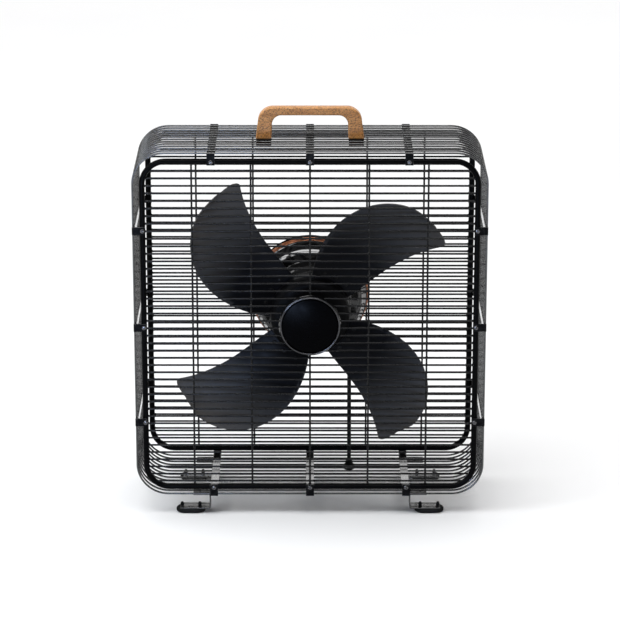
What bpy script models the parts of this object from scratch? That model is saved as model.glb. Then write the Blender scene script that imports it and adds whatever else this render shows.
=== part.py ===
"""Box fan: a wire-hoop sleeve with two flat wire grilles, a four-blade rotor on a
rear-mounted motor, a wooden carrying handle on top and four rubber feet below.

Metres, +Z up, the front of the fan faces -Y. The origin is on the ground, under
the middle of the fan. Run it with: blender --background --python part.py
"""
import math

import bmesh
import bpy
from mathutils import Matrix, Vector

# ---------------------------------------------------------------- driving sizes
GAP = 0.0003              # clearance kept between pieces that touch

FOOT_H = 0.031            # ground to the underside of the hoops
HOOP_W = 0.520            # sleeve, outside width
HOOP_H = 0.530            # sleeve, outside height
HOOP_CORNER = 0.048       # outside corner radius of a hoop
SLEEVE_DEPTH = 0.165      # first hoop to last hoop, centre to centre
HOOP_COUNT = 13
WIRE = 0.0026             # side of the square that stands for a 2.9 mm round wire

STRIP_W = 0.012           # depth strips that carry the hoops
STRIP_T = 0.002
WELD = 0.0003             # how far welded wires sink into each other
STRIP_X = 0.144           # outer strips on the top and bottom, from the middle
STRIP_Z = 0.148           # outer strips on the left and right, from the middle
TAB_T = 0.0016            # thickness of the tabs that hold the grille rings

RING_W = 0.4893           # grille ring, centreline width
RING_H = 0.5033           # grille ring, centreline height
RING_CORNER = 0.035       # grille ring, centreline corner radius
RING_R = 0.00425          # ring tube radius
RING_OUT = 0.0010         # ring plane, proud of the end hoop's plane
GRILLE_ROWS = 43          # level wires in each grille
GRILLE_COLUMNS = 5        # upright wires in each grille
COLUMN_PITCH = 0.0863
ROW_OFFSET = 0.00165      # level wires lie this far outside the ring's plane
ROW_DROP = 0.0020         # the middle level wire is this far below the ring's middle

SCREW_R = 0.0016
SCREW_HEAD_R = 0.0036
SCREW_HEAD_T = 0.0018

BADGE_R = 0.0460
BADGE_FACE_R = 0.0412
BADGE_FRONT = 0.0960      # front of the badge's dome, from the middle of the sleeve
BACKING_R = 0.0400

HANDLE_H = 0.0500         # grip top above the hoops
HANDLE_HALF_FOOT = 0.0800  # outside of a leg at its foot
HANDLE_HALF_TOP = 0.0765   # outside of a leg, carried up to the grip's top
HANDLE_OUTER_R = 0.0220
HANDLE_OPEN_FOOT = 0.0565  # inside of a leg at its foot
HANDLE_OPEN_TOP = 0.0560   # inside of a leg, carried up to the grip's underside
HANDLE_OPEN_H = 0.0380
HANDLE_INNER_R = 0.0140
HANDLE_DEPTH = 0.0160
HANDLE_PAD_T = 0.0015
HANDLE_PLATE = (0.0225, 0.042, 0.0015)
HANDLE_BOLT_R = 0.0025
HANDLE_BOLT_DEPTH = 0.018

FOOT_WEB_X = 0.1495       # upright web of a foot bracket, from the middle
FOOT_SPAN = 0.0460        # how far its lower flange reaches outwards
FOOT_TOP_SPAN = 0.0260    # how far its upper flange reaches outwards
FOOT_DEPTH = 0.0240
FOOT_SHEET = 0.0015
FOOT_Y = 0.0690           # bracket centre, in front of and behind the middle
PAD_L = 0.0440
PAD_W = 0.0260
PAD_H = 0.0068
PAD_SHIFT = 0.0060        # the pads stick out past the flanges by this much
STUD_X = 0.0133           # push-in studs moulded on a pad, from its middle
STUD_NECK_R = 0.0019
STUD_HEAD_R = 0.0027
STUD_TOP = 0.0146

BLADE_TIP_R = 0.2290
BLADE_COUNT = 4
BLADE_FIRST_TIP = 27.0    # degrees anticlockwise from +X, seen from the front
BLADE_T = 0.0020
BLADE_FRONT_Y = -0.0610   # trailing edge
BLADE_REAR_Y = -0.0290    # leading edge
BLADE_CAMBER = 0.0050
BLADE_BELLY = 0.63        # share of the tip radius where the leading edge is fullest
BLADE_BELLY_TURN = 4.0    # degrees that the leading edge stands past the tip's corner there
BLADE_ROOT_SPREAD = 0.27  # share of the tip radius over which that falls off inwards
BLADE_TIP_TURN = 15.0     # degrees between the edges at the tip
BLADE_ROOT_TURN = 50.0    # degrees that the trailing edge runs on towards the root
TIP_ROUND_START = 0.965   # share of the tip radius where the leading corner starts to round
TIP_ROUND_TURN = 3.0      # degrees that the rounding takes off the leading corner
HUB_R = 0.0605

SHAFT_R = 0.0040
SHAFT_ENDS = (-0.0625, 0.0780)
DRUM_SIDES = 28
BELL_WALL = 0.0018
BELL_FRONT_Y = 0.0010
BELL_REAR_Y = 0.0640
BELL_NOSE_R = 0.0572
BELL_SHOULDER_R = 0.0795
BELL_SHOULDER_Y = 0.0460
BELL_REAR_R = 0.0860
BEARING_R = 0.0120        # bearing seat in either shell
MOTOR_REAR_Y = 0.08025    # back of the motor, against the rear grille
CORE_FRONT_Y = 0.0460
CORE_REAR_Y = 0.0625
CORE_R = 0.0715
CORE_BORE_R = 0.0336
AIR_GAP = 0.0006          # between the armature and the core's bore
SLOT_COUNT = 8
SLOT_MID_R = 0.0525
TURNS_R = 0.0895          # outside of the end turns behind the core
VENT_MID_R = 0.0680
VENT_R = 0.0070
MOUNT_PLATE_R = 0.0880
PLATE_T = 0.0016
BOLT_X = 0.0400           # motor bolts, each in a gap between two level wires
BOLT_ROW = 5              # their height, in wire pitches from the shaft
BOLT_R = 0.0020

KNOB_X = -0.0200          # speed knob, from the shaft
KNOB_ROW = -2             # its height, in wire pitches from the shaft
KNOB_R = 0.0140
KNOB_STEM_R = 0.0030
KNOB_HOLE_R = 0.0038

LEAD_R = 0.0030
LEAD_X = 0.0600
LEAD_TOP_Y = 0.0545
LEAD_TOP_DROP = 0.0843    # the lead's upper end, below the shaft
LEAD_FLOOR_RISE = 0.0103  # its lower end, above the lowest wires
LEAD_GLAND_R = 0.0060
LEAD_POINTS = 12

# ---------------------------------------------------------------- derived places
SLEEVE_Z = FOOT_H + HOOP_H / 2
HALF_DEPTH = SLEEVE_DEPTH / 2
HOOP_PITCH = SLEEVE_DEPTH / (HOOP_COUNT - 1)
HOOP_TOP = FOOT_H + HOOP_H
ROW_PITCH = RING_H / (GRILLE_ROWS + 1)
SHAFT_Z = SLEEVE_Z - ROW_DROP + ROW_PITCH / 2
RING_Y = HALF_DEPTH + RING_OUT
TAB_IN = RING_Y + RING_R + 0.00035
TAB_OUT = TAB_IN + TAB_T
ROWS_OUTSIDE = RING_Y + ROW_OFFSET + WIRE / 2
COLUMNS_INSIDE = RING_Y - ROW_OFFSET - WIRE / 2
HANDLE_Y = -HOOP_PITCH / 2
LEAD_FLOOR_Y = -HALF_DEPTH + 8.5 * HOOP_PITCH
SCREW_SEAT = TAB_OUT + GAP
SCREW_TIP = RING_Y + 0.0010
KNOB_Z = KNOB_ROW * ROW_PITCH
PLATE_FRONT_Y = ROWS_OUTSIDE + GAP
PLATE_REAR_Y = PLATE_FRONT_Y + PLATE_T


# ---------------------------------------------------------------- materials
def make_material(name, colour, roughness, metallic=0.0):
    material = bpy.data.materials.new(name)
    material.use_nodes = True
    shader = material.node_tree.nodes["Principled BSDF"]
    shader.inputs["Base Color"].default_value = (*colour, 1.0)
    shader.inputs["Roughness"].default_value = roughness
    shader.inputs["Metallic"].default_value = metallic
    return material


def make_materials():
    return {
        "black_wire": make_material("black_wire", (0.020, 0.020, 0.022), 0.30),
        "blade": make_material("blade", (0.045, 0.045, 0.050), 0.42, 0.2),
        "gloss_black": make_material("gloss_black", (0.010, 0.010, 0.012), 0.12),
        "rim": make_material("rim", (0.016, 0.016, 0.018), 0.16),
        "wood": make_material("wood", (0.52, 0.25, 0.10), 0.50),
        "rubber": make_material("rubber", (0.018, 0.018, 0.018), 0.80),
        "steel": make_material("steel", (0.55, 0.56, 0.58), 0.28, 1.0),
        "copper": make_material("copper", (0.72, 0.32, 0.18), 0.30, 1.0),
        "bronze": make_material("bronze", (0.55, 0.38, 0.20), 0.35, 1.0),
        "plastic": make_material("plastic", (0.030, 0.030, 0.032), 0.45),
        "lead": make_material("lead", (0.015, 0.015, 0.015), 0.55),
    }


# ---------------------------------------------------------------- mesh helpers
def close_mesh(bm, name):
    """Points every face outwards and returns the finished mesh."""
    bmesh.ops.recalc_face_normals(bm, faces=bm.faces)
    mesh = bpy.data.meshes.new(name)
    bm.to_mesh(mesh)
    bm.free()
    return mesh


def place(name, mesh, material, location=(0, 0, 0), parent=None, smooth=False):
    """Makes one named object from a mesh, at a place given under its parent."""
    obj = bpy.data.objects.new(name, mesh)
    bpy.context.scene.collection.objects.link(obj)
    obj.location = location
    obj.parent = parent
    mesh.materials.clear()
    mesh.materials.append(material)
    if smooth:
        mesh.shade_smooth()
        mesh.set_sharp_from_angle(angle=math.radians(35))
    return obj


def empty_at(name, location):
    obj = bpy.data.objects.new(name, None)
    bpy.context.scene.collection.objects.link(obj)
    obj.location = location
    return obj


def combine(mesh, other, operation):
    """Unites a mesh with another, or cuts it by the other, and returns the result."""
    body = bpy.data.objects.new("body", mesh)
    tool = bpy.data.objects.new("tool", other)
    for obj in (body, tool):
        bpy.context.scene.collection.objects.link(obj)
    boolean = body.modifiers.new("boolean", "BOOLEAN")
    boolean.operation = operation
    boolean.object = tool
    boolean.solver = "EXACT"
    bpy.context.view_layer.update()
    graph = bpy.context.evaluated_depsgraph_get()
    result = bpy.data.meshes.new_from_object(body.evaluated_get(graph))
    for obj in (body, tool):
        bpy.data.objects.remove(obj, do_unlink=True)
    return result


def add_prism(bm, outline, point_at, low, high):
    """Extrudes a flat outline between two distances; point_at places a point."""
    ends = [[bm.verts.new(point_at(u, v, w)) for u, v in outline] for w in (low, high)]
    bm.faces.new(ends[0])
    bm.faces.new(ends[1][::-1])
    count = len(outline)
    for k in range(count):
        after = (k + 1) % count
        bm.faces.new((ends[0][k], ends[1][k], ends[1][after], ends[0][after]))


def along_y(u, v, w):
    return (u, w, v)


def along_z(u, v, w):
    return (u, v, w)


def rectangle(low_u, high_u, low_v, high_v):
    return [(low_u, low_v), (high_u, low_v), (high_u, high_v), (low_u, high_v)]


def polygon(centre_u, centre_v, radius, sides):
    turn = 2 * math.pi / sides
    return [(centre_u + radius * math.cos(k * turn), centre_v + radius * math.sin(k * turn))
            for k in range(sides)]


def arc(centre_u, centre_v, radius, start, end, steps):
    """Points on an arc between two angles in degrees, both ends included."""
    points = []
    for k in range(steps + 1):
        angle = math.radians(start + (end - start) * k / steps)
        points.append((centre_u + radius * math.cos(angle), centre_v + radius * math.sin(angle)))
    return points


def prism_mesh(name, outline, point_at, low, high):
    bm = bmesh.new()
    add_prism(bm, outline, point_at, low, high)
    return close_mesh(bm, name)


def turned_mesh(name, profile, sides, closed=False, upright=False):
    """Turns (radius, distance) points about Y, or about Z for an upright piece."""
    bm = bmesh.new()
    rings = []
    for radius, along in profile:
        if radius < 1e-9:
            rings.append([bm.verts.new((0, along, 0))])
            continue
        rings.append([bm.verts.new((x, along, z)) for x, z in polygon(0, 0, radius, sides)])
    pairs = list(zip(rings, rings[1:]))
    if closed:
        pairs.append((rings[-1], rings[0]))
    for first, second in pairs:
        for k in range(sides):
            corners = (first[k % len(first)], first[(k + 1) % sides % len(first)],
                       second[(k + 1) % sides % len(second)], second[k % len(second)])
            bm.faces.new(list(dict.fromkeys(corners)))
    if not closed:
        for ring in (rings[0], rings[-1]):
            if len(ring) > 1:
                bm.faces.new(ring)
    if upright:
        bmesh.ops.rotate(bm, matrix=Matrix.Rotation(math.pi / 2, 3, "X"), verts=bm.verts)
    return close_mesh(bm, name)


def rounded_rectangle(width, height, radius, steps):
    """Corner points of a rounded rectangle about the axis, with their outward angles."""
    points = []
    for quarter in range(4):
        side_x = 1 if quarter in (0, 3) else -1
        side_z = 1 if quarter in (0, 1) else -1
        centre = (side_x * (width / 2 - radius), side_z * (height / 2 - radius))
        for k in range(steps + 1):
            angle = math.pi / 2 * (quarter + k / steps)
            points.append((centre[0] + radius * math.cos(angle),
                           centre[1] + radius * math.sin(angle), angle))
    return points


def add_loop(bm, outline, section, offset_y=0.0):
    """Sweeps a closed section of (outward, y) points round a closed outline."""
    rings = []
    for x, z, angle in outline:
        rings.append([bm.verts.new((x + out * math.cos(angle), offset_y + y,
                                    z + out * math.sin(angle))) for out, y in section])
    for k, ring in enumerate(rings):
        following = rings[(k + 1) % len(rings)]
        for j in range(len(section)):
            beside = (j + 1) % len(section)
            bm.faces.new((ring[j], following[j], following[beside], ring[beside]))


# ---------------------------------------------------------------- cage and grilles
def strip_places():
    """Each depth strip: the outward angle it faces and its place along that side."""
    places = []
    for quarter in range(4):
        reach = STRIP_Z if quarter % 2 == 0 else STRIP_X
        for side in (-1, 0, 1):
            places.append((quarter * math.pi / 2, side * reach))
    return places


def side_point(angle, outward, along, y):
    """A point by its outward distance from the axis and its place along that side."""
    x = outward * math.cos(angle) - along * math.sin(angle)
    z = outward * math.sin(angle) + along * math.cos(angle)
    return (x, y, z)


def side_reach(angle, width, height):
    return (width if abs(math.cos(angle)) > 0.5 else height) / 2


def screw_cutters(ends, inner, outer):
    """Clearance holes through the tabs and into the rings, at every strip end."""
    bm = bmesh.new()
    for angle, along in strip_places():
        ring_out = side_reach(angle, RING_W, RING_H)
        x, _, z = side_point(angle, ring_out, along, 0)
        for end in ends:
            outline = polygon(x, z, SCREW_R + GAP, 6)
            add_prism(bm, outline, along_y, end * inner, end * outer)
    return close_mesh(bm, "screw_holes")


def cage_mesh():
    """Thirteen closed hoops on twelve depth strips, each strip bent over at both ends."""
    bm = bmesh.new()
    outline = rounded_rectangle(HOOP_W, HOOP_H, HOOP_CORNER, 4)
    section = rectangle(-WIRE, 0, -WIRE / 2, WIRE / 2)
    for k in range(HOOP_COUNT):
        add_loop(bm, outline, section, k * HOOP_PITCH - HALF_DEPTH)
    hoops = close_mesh(bm, "hoops")

    bm = bmesh.new()
    for angle, along in strip_places():
        hoop_out = side_reach(angle, HOOP_W, HOOP_H)
        strip_out = hoop_out - WIRE + WELD
        strip_in = strip_out - STRIP_T
        tab_end = side_reach(angle, RING_W, RING_H) - RING_R - GAP
        half = [(tab_end, TAB_OUT), (tab_end, TAB_IN), (strip_in, TAB_IN)]
        upper = [(strip_out, TAB_IN), (hoop_out, TAB_IN), (hoop_out, TAB_OUT)]
        mirrored = [(out, -y) for out, y in half[::-1]]
        outer = [(out, -y) for out, y in upper[::-1]]
        profile = half + mirrored + outer + upper
        ends = [[bm.verts.new(side_point(angle, out, along + shift, y)) for out, y in profile]
                for shift in (-STRIP_W / 2, STRIP_W / 2)]
        bm.faces.new(ends[0])
        bm.faces.new(ends[1][::-1])
        for k in range(len(profile)):
            after = (k + 1) % len(profile)
            bm.faces.new((ends[0][k], ends[1][k], ends[1][after], ends[0][after]))
    strips = close_mesh(bm, "strips")
    cage = combine(hoops, strips, "UNION")
    return combine(cage, screw_cutters((-1, 1), TAB_IN - GAP, TAB_OUT + GAP), "DIFFERENCE")


def ring_half_width(z):
    """Half the width of the ring's centreline at a height from the axis."""
    above = abs(z) - (RING_H / 2 - RING_CORNER)
    if above <= 0:
        return RING_W / 2
    return RING_W / 2 - RING_CORNER + math.sqrt(RING_CORNER ** 2 - above ** 2)


def grille_mesh(end):
    """A flat grille: level wires outside, upright wires inside, welded into a ring."""
    bm = bmesh.new()
    flat = math.pi / 8
    section = [(RING_R * math.cos(k * math.pi / 4 + flat), RING_R * math.sin(k * math.pi / 4 + flat))
               for k in range(8)]
    add_loop(bm, rounded_rectangle(RING_W, RING_H, RING_CORNER, 4), section, end * RING_Y)
    ring = close_mesh(bm, "ring")

    bm = bmesh.new()
    half = WIRE / 2
    row_y = end * (RING_Y + ROW_OFFSET)
    column_y = end * (RING_Y - ROW_OFFSET)
    for k in range(GRILLE_ROWS):
        z = (k + 1) * ROW_PITCH - RING_H / 2 - ROW_DROP
        reach = ring_half_width(z)
        add_prism(bm, rectangle(-reach, reach, z - half, z + half), along_y, row_y - half, row_y + half)
    for k in range(GRILLE_COLUMNS):
        x = (k - (GRILLE_COLUMNS - 1) / 2) * COLUMN_PITCH
        reach = RING_H / 2
        outline = rectangle(x - half, x + half, -reach, reach)
        add_prism(bm, outline, along_y, column_y - half, column_y + half)
    wires = close_mesh(bm, "wires")
    grille = combine(ring, wires, "UNION")
    return combine(grille, screw_cutters((end,), SCREW_TIP - GAP, TAB_OUT), "DIFFERENCE")


def grille_screw_mesh(name):
    profile = [(SCREW_R, SCREW_TIP), (SCREW_R, SCREW_SEAT), (SCREW_HEAD_R, SCREW_SEAT),
               (SCREW_HEAD_R, SCREW_SEAT + SCREW_HEAD_T * 0.5),
               (SCREW_HEAD_R * 0.6, SCREW_SEAT + SCREW_HEAD_T)]
    return turned_mesh(name, [(radius, -along) for radius, along in profile], 6)


def build_cage(materials, centre):
    wire = materials["black_wire"]
    place("body_cage", cage_mesh(), wire, parent=centre)
    place("front_grille", grille_mesh(-1), wire, parent=centre)
    place("rear_grille", grille_mesh(1), wire, parent=centre)
    for number, (angle, along) in enumerate(strip_places(), start=1):
        x, _, z = side_point(angle, side_reach(angle, RING_W, RING_H), along, 0)
        name = f"front_grille_screw_{number:02d}"
        place(name, grille_screw_mesh(name), materials["steel"], (x, 0, z), centre)


def build_badge(materials, centre):
    """A domed disc in a bevelled rim, in front of the wires, and a plate behind them."""
    back = -(ROWS_OUTSIDE + GAP)
    front = -BADGE_FRONT
    rim = [(BADGE_FACE_R + GAP, back), (BADGE_R, back), (BADGE_R, back - 0.004),
           (BADGE_R - 0.0015, back - 0.0065), (BADGE_FACE_R + 0.0012, back - 0.0070),
           (BADGE_FACE_R + GAP, back - 0.0060)]
    face = [(BADGE_FACE_R, back), (BADGE_FACE_R, back - 0.0050),
            (BADGE_FACE_R * 0.92, back - 0.0066), (BADGE_FACE_R * 0.70, back - 0.0080),
            (BADGE_FACE_R * 0.40, front + 0.0004), (0, front)]
    behind = -(COLUMNS_INSIDE - GAP)
    plate = [(BACKING_R, behind), (BACKING_R, behind + 0.0016)]
    place("badge_rim", turned_mesh("badge_rim", rim, 40, closed=True), materials["rim"],
          parent=centre, smooth=True)
    place("badge_face", turned_mesh("badge_face", face, 40), materials["gloss_black"],
          parent=centre, smooth=True)
    place("badge_backing_plate", turned_mesh("badge_backing_plate", plate, 24),
          materials["black_wire"], parent=centre, smooth=True)


# ---------------------------------------------------------------- handle and feet
def handle_outline():
    """The handle from the front: two legs that lean inwards and a rounded grip."""
    outer_x = HANDLE_HALF_TOP - HANDLE_OUTER_R
    outer_z = HANDLE_H - HANDLE_OUTER_R
    inner_x = HANDLE_OPEN_TOP - HANDLE_INNER_R
    inner_z = HANDLE_OPEN_H - HANDLE_INNER_R
    outline = [(HANDLE_HALF_FOOT, 0)]
    outline += arc(outer_x, outer_z, HANDLE_OUTER_R, 0, 90, 6)
    outline += arc(-outer_x, outer_z, HANDLE_OUTER_R, 90, 180, 6)
    outline += [(-HANDLE_HALF_FOOT, 0), (-HANDLE_OPEN_FOOT, 0)]
    outline += arc(-inner_x, inner_z, HANDLE_INNER_R, 180, 90, 5)
    outline += arc(inner_x, inner_z, HANDLE_INNER_R, 90, 0, 5)
    outline.append((HANDLE_OPEN_FOOT, 0))
    return outline


def build_handle(materials):
    mount = empty_at("handle_mount", (0, HANDLE_Y, HOOP_TOP))
    foot_z = GAP + HANDLE_PAD_T + GAP
    grip = prism_mesh("handle_grip", handle_outline(), along_y, -HANDLE_DEPTH / 2, HANDLE_DEPTH / 2)
    leg_x = (HANDLE_HALF_FOOT + HANDLE_OPEN_FOOT) / 2
    bm = bmesh.new()
    for side in (-1, 1):
        hole = polygon(side * leg_x, 0, HANDLE_BOLT_R + GAP, 8)
        add_prism(bm, hole, along_z, -0.001, HANDLE_BOLT_DEPTH)
    grip = combine(grip, close_mesh(bm, "bolt_holes"), "DIFFERENCE")
    for vertex in grip.vertices:
        if vertex.co.z < 1e-6:
            vertex.co.z = foot_z
    place("handle_grip", grip, materials["wood"], parent=mount)

    plate_w, plate_d, plate_t = HANDLE_PLATE
    pad_w = HANDLE_HALF_FOOT - HANDLE_OPEN_FOOT - 0.001
    plate_top = -WIRE - GAP
    for side, word in ((-1, "left"), (1, "right")):
        hole = prism_mesh("hole", polygon(0, 0, HANDLE_BOLT_R + GAP, 8), along_z, -0.02, 0.02)
        outline = rectangle(-pad_w / 2, pad_w / 2, -HANDLE_DEPTH / 2, HANDLE_DEPTH / 2)
        pad = prism_mesh("pad", outline, along_z, GAP, GAP + HANDLE_PAD_T)
        pad = combine(pad, hole, "DIFFERENCE")
        place(f"handle_pad_{word}", pad, materials["rubber"], (side * leg_x, 0, 0), mount)
        outline = rectangle(-plate_w / 2, plate_w / 2, -plate_d / 2, plate_d / 2)
        plate = prism_mesh("plate", outline, along_z, plate_top - plate_t, plate_top)
        plate = combine(plate, hole, "DIFFERENCE")
        place(f"handle_plate_{word}", plate, materials["black_wire"], (side * leg_x, 0, 0), mount)
        seat = plate_top - plate_t - GAP
        profile = [(HANDLE_BOLT_R * 1.2, seat - 0.003), (HANDLE_BOLT_R * 1.9, seat - 0.002),
                   (HANDLE_BOLT_R * 1.9, seat), (HANDLE_BOLT_R, seat),
                   (HANDLE_BOLT_R, HANDLE_BOLT_DEPTH - 0.001)]
        bolt = turned_mesh(f"handle_bolt_{word}", profile, 8, upright=True)
        place(f"handle_bolt_{word}", bolt, materials["steel"], (side * leg_x, 0, 0), mount)


def pad_mesh():
    """A round-ended rubber pad with two push-in studs that snap through the flange."""
    centre = PAD_L / 2 - PAD_W / 2
    capsule = arc(centre, 0, PAD_W / 2, -90, 90, 6) + arc(-centre, 0, PAD_W / 2, 90, 270, 6)
    mesh = prism_mesh("pad", capsule, along_z, 0, PAD_H)
    seat = PAD_H + GAP + FOOT_SHEET + GAP
    stud = [(STUD_NECK_R, PAD_H - 0.001), (STUD_NECK_R, seat), (STUD_HEAD_R, seat),
            (STUD_HEAD_R, seat + 0.0020), (STUD_HEAD_R * 0.75, STUD_TOP - 0.0012),
            (STUD_HEAD_R * 0.40, STUD_TOP)]
    for shift in (-STUD_X, STUD_X):
        tool = turned_mesh("stud", stud, 12, upright=True)
        for vertex in tool.vertices:
            vertex.co.x += shift
        mesh = combine(mesh, tool, "UNION")
    return mesh


def build_feet(materials):
    """Four folded brackets under the hoops, open outwards, each on a rubber pad."""
    top = FOOT_H - GAP
    low = PAD_H + GAP
    for side, side_word in ((-1, "left"), (1, "right")):
        for end, end_word in ((-1, "front"), (1, "rear")):
            mount = empty_at(f"foot_{end_word}_{side_word}", (0, end * FOOT_Y, 0))
            inner = side * FOOT_WEB_X
            sheet = side * FOOT_SHEET
            reach = side * (FOOT_WEB_X + FOOT_SPAN)
            top_reach = side * (FOOT_WEB_X + FOOT_TOP_SPAN)
            outline = [(inner, low), (reach, low), (reach, low + FOOT_SHEET),
                       (inner + sheet, low + FOOT_SHEET), (inner + sheet, top - FOOT_SHEET),
                       (top_reach, top - FOOT_SHEET), (top_reach, top), (inner, top)]
            name = f"foot_bracket_{end_word}_{side_word}"
            mesh = prism_mesh(name, outline, along_y, -FOOT_DEPTH / 2, FOOT_DEPTH / 2)
            middle = side * (FOOT_WEB_X + FOOT_SPAN - PAD_L / 2 + PAD_SHIFT)
            bm = bmesh.new()
            for shift in (-STUD_X, STUD_X):
                hole = polygon(middle + shift, 0, STUD_NECK_R + GAP, 12)
                add_prism(bm, hole, along_z, low - FOOT_SHEET, low + 2 * FOOT_SHEET)
            mesh = combine(mesh, close_mesh(bm, "stud_holes"), "DIFFERENCE")
            place(name, mesh, materials["black_wire"], parent=mount)
            name = f"foot_pad_{end_word}_{side_word}"
            place(name, pad_mesh(), materials["rubber"], (middle, 0, 0), mount, smooth=True)


# ---------------------------------------------------------------- rotor
def blade_edges(radius):
    """Leading and trailing edge angles, in degrees past the tip's corner, at a radius."""
    reach = radius / BLADE_TIP_R
    spread = 1 - BLADE_BELLY if reach > BLADE_BELLY else BLADE_ROOT_SPREAD
    leading = BLADE_BELLY_TURN * (1 - ((reach - BLADE_BELLY) / spread) ** 2)
    trailing = BLADE_TIP_TURN + BLADE_ROOT_TURN * (1 - reach ** 1.5) ** 0.57
    past = max(0.0, (reach - TIP_ROUND_START) / (1 - TIP_ROUND_START))
    leading += TIP_ROUND_TURN * (1 - math.sqrt(max(0.0, 1 - past ** 2)))
    return leading, trailing


def blade_mesh(name):
    """A twisted sheet: its leading edge lies to the rear, its trailing edge in front."""
    rows = 11
    columns = 7
    first = HUB_R + GAP
    bm = bmesh.new()
    sheets = []
    for layer in (0, 1):
        grid = []
        for i in range(rows):
            out = math.sin(math.pi / 2 * i / (rows - 1))
            radius = first + (BLADE_TIP_R - first) * out
            leading, trailing = blade_edges(radius)
            sweep = (BLADE_REAR_Y - BLADE_FRONT_Y) * (0.75 + 0.25 * out) * (1 - 0.35 * out ** 8)
            line = []
            for j in range(columns):
                across = j / (columns - 1)
                angle = math.radians(leading + (trailing - leading) * across)
                y = BLADE_REAR_Y - sweep * across + BLADE_CAMBER * math.sin(math.pi * across)
                y += layer * BLADE_T
                line.append(bm.verts.new((radius * math.cos(angle), y, radius * math.sin(angle))))
            grid.append(line)
        sheets.append(grid)
    front, back = sheets
    for i in range(rows - 1):
        for j in range(columns - 1):
            bm.faces.new((front[i][j], front[i + 1][j], front[i + 1][j + 1], front[i][j + 1]))
            bm.faces.new((back[i][j + 1], back[i + 1][j + 1], back[i + 1][j], back[i][j]))
    border = [(i, 0) for i in range(rows)] + [(rows - 1, j) for j in range(1, columns)]
    border += [(i, columns - 1) for i in range(rows - 2, -1, -1)]
    border += [(0, j) for j in range(columns - 2, 0, -1)]
    for k, (i, j) in enumerate(border):
        next_i, next_j = border[(k + 1) % len(border)]
        bm.faces.new((front[i][j], back[i][j], back[next_i][next_j], front[next_i][next_j]))
    return close_mesh(bm, name)


def build_rotor(materials):
    axis = empty_at("rotor_axis", (0, 0, SHAFT_Z))
    bore = SHAFT_R + GAP
    hub = [(bore, -0.0570), (0.030, -0.0570), (0.052, -0.0540), (0.0585, -0.0490),
           (HUB_R, -0.0420), (HUB_R, -0.0220), (0.0570, -0.0220), (0.0560, -0.0400),
           (0.0500, -0.0460), (0.0180, -0.0480), (0.0140, -0.0440), (0.0130, -0.0060),
           (bore, -0.0060)]
    place("fan_hub", turned_mesh("fan_hub", hub, DRUM_SIDES, closed=True), materials["plastic"],
          parent=axis, smooth=True)
    for k in range(BLADE_COUNT):
        name = f"fan_blade_{k + 1}"
        blade = place(name, blade_mesh(name), materials["blade"], parent=axis, smooth=True)
        turn = BLADE_FIRST_TIP + 360.0 * k / BLADE_COUNT
        blade.rotation_euler = (0, -math.radians(turn), 0)

    nut = [(0.0035, -0.0665), (0.0110, -0.0640), (0.0120, -0.0600), (0.0120, -0.0573)]
    socket = turned_mesh("socket", [(bore, -0.0630), (bore, -0.0560)], 12)
    mesh = combine(turned_mesh("spinner_nut", nut, 12), socket, "DIFFERENCE")
    place("spinner_nut", mesh, materials["plastic"], parent=axis, smooth=True)
    shaft = [(SHAFT_R, end) for end in SHAFT_ENDS]
    place("motor_shaft", turned_mesh("motor_shaft", shaft, 12), materials["steel"],
          parent=axis, smooth=True)
    armature_r = CORE_BORE_R - AIR_GAP
    end_ring_r = armature_r - 0.003
    front_end = CORE_FRONT_Y - 0.004
    rear_end = CORE_REAR_Y + 0.003
    armature = [(bore, front_end), (end_ring_r, front_end), (end_ring_r, CORE_FRONT_Y),
                (armature_r, CORE_FRONT_Y), (armature_r, CORE_REAR_Y),
                (end_ring_r, CORE_REAR_Y), (end_ring_r, rear_end), (bore, rear_end)]
    place("armature_core", turned_mesh("armature_core", armature, 24, closed=True),
          materials["steel"], parent=axis, smooth=True)


# ---------------------------------------------------------------- motor
def slot_bars(grow, low, high):
    """Bars on a circle: the slots through the core, or the windings that fill them."""
    bm = bmesh.new()
    for k in range(SLOT_COUNT):
        turn = 2 * math.pi * (k + 0.5) / SLOT_COUNT
        radial = 0.0035 + grow
        across = 0.0050 + grow
        corners = []
        for u, v in rectangle(-radial, radial, -across, across):
            out = SLOT_MID_R + u
            corners.append((out * math.cos(turn) - v * math.sin(turn),
                            out * math.sin(turn) + v * math.cos(turn)))
        add_prism(bm, corners, along_y, low, high)
    return close_mesh(bm, "bars")


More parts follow.
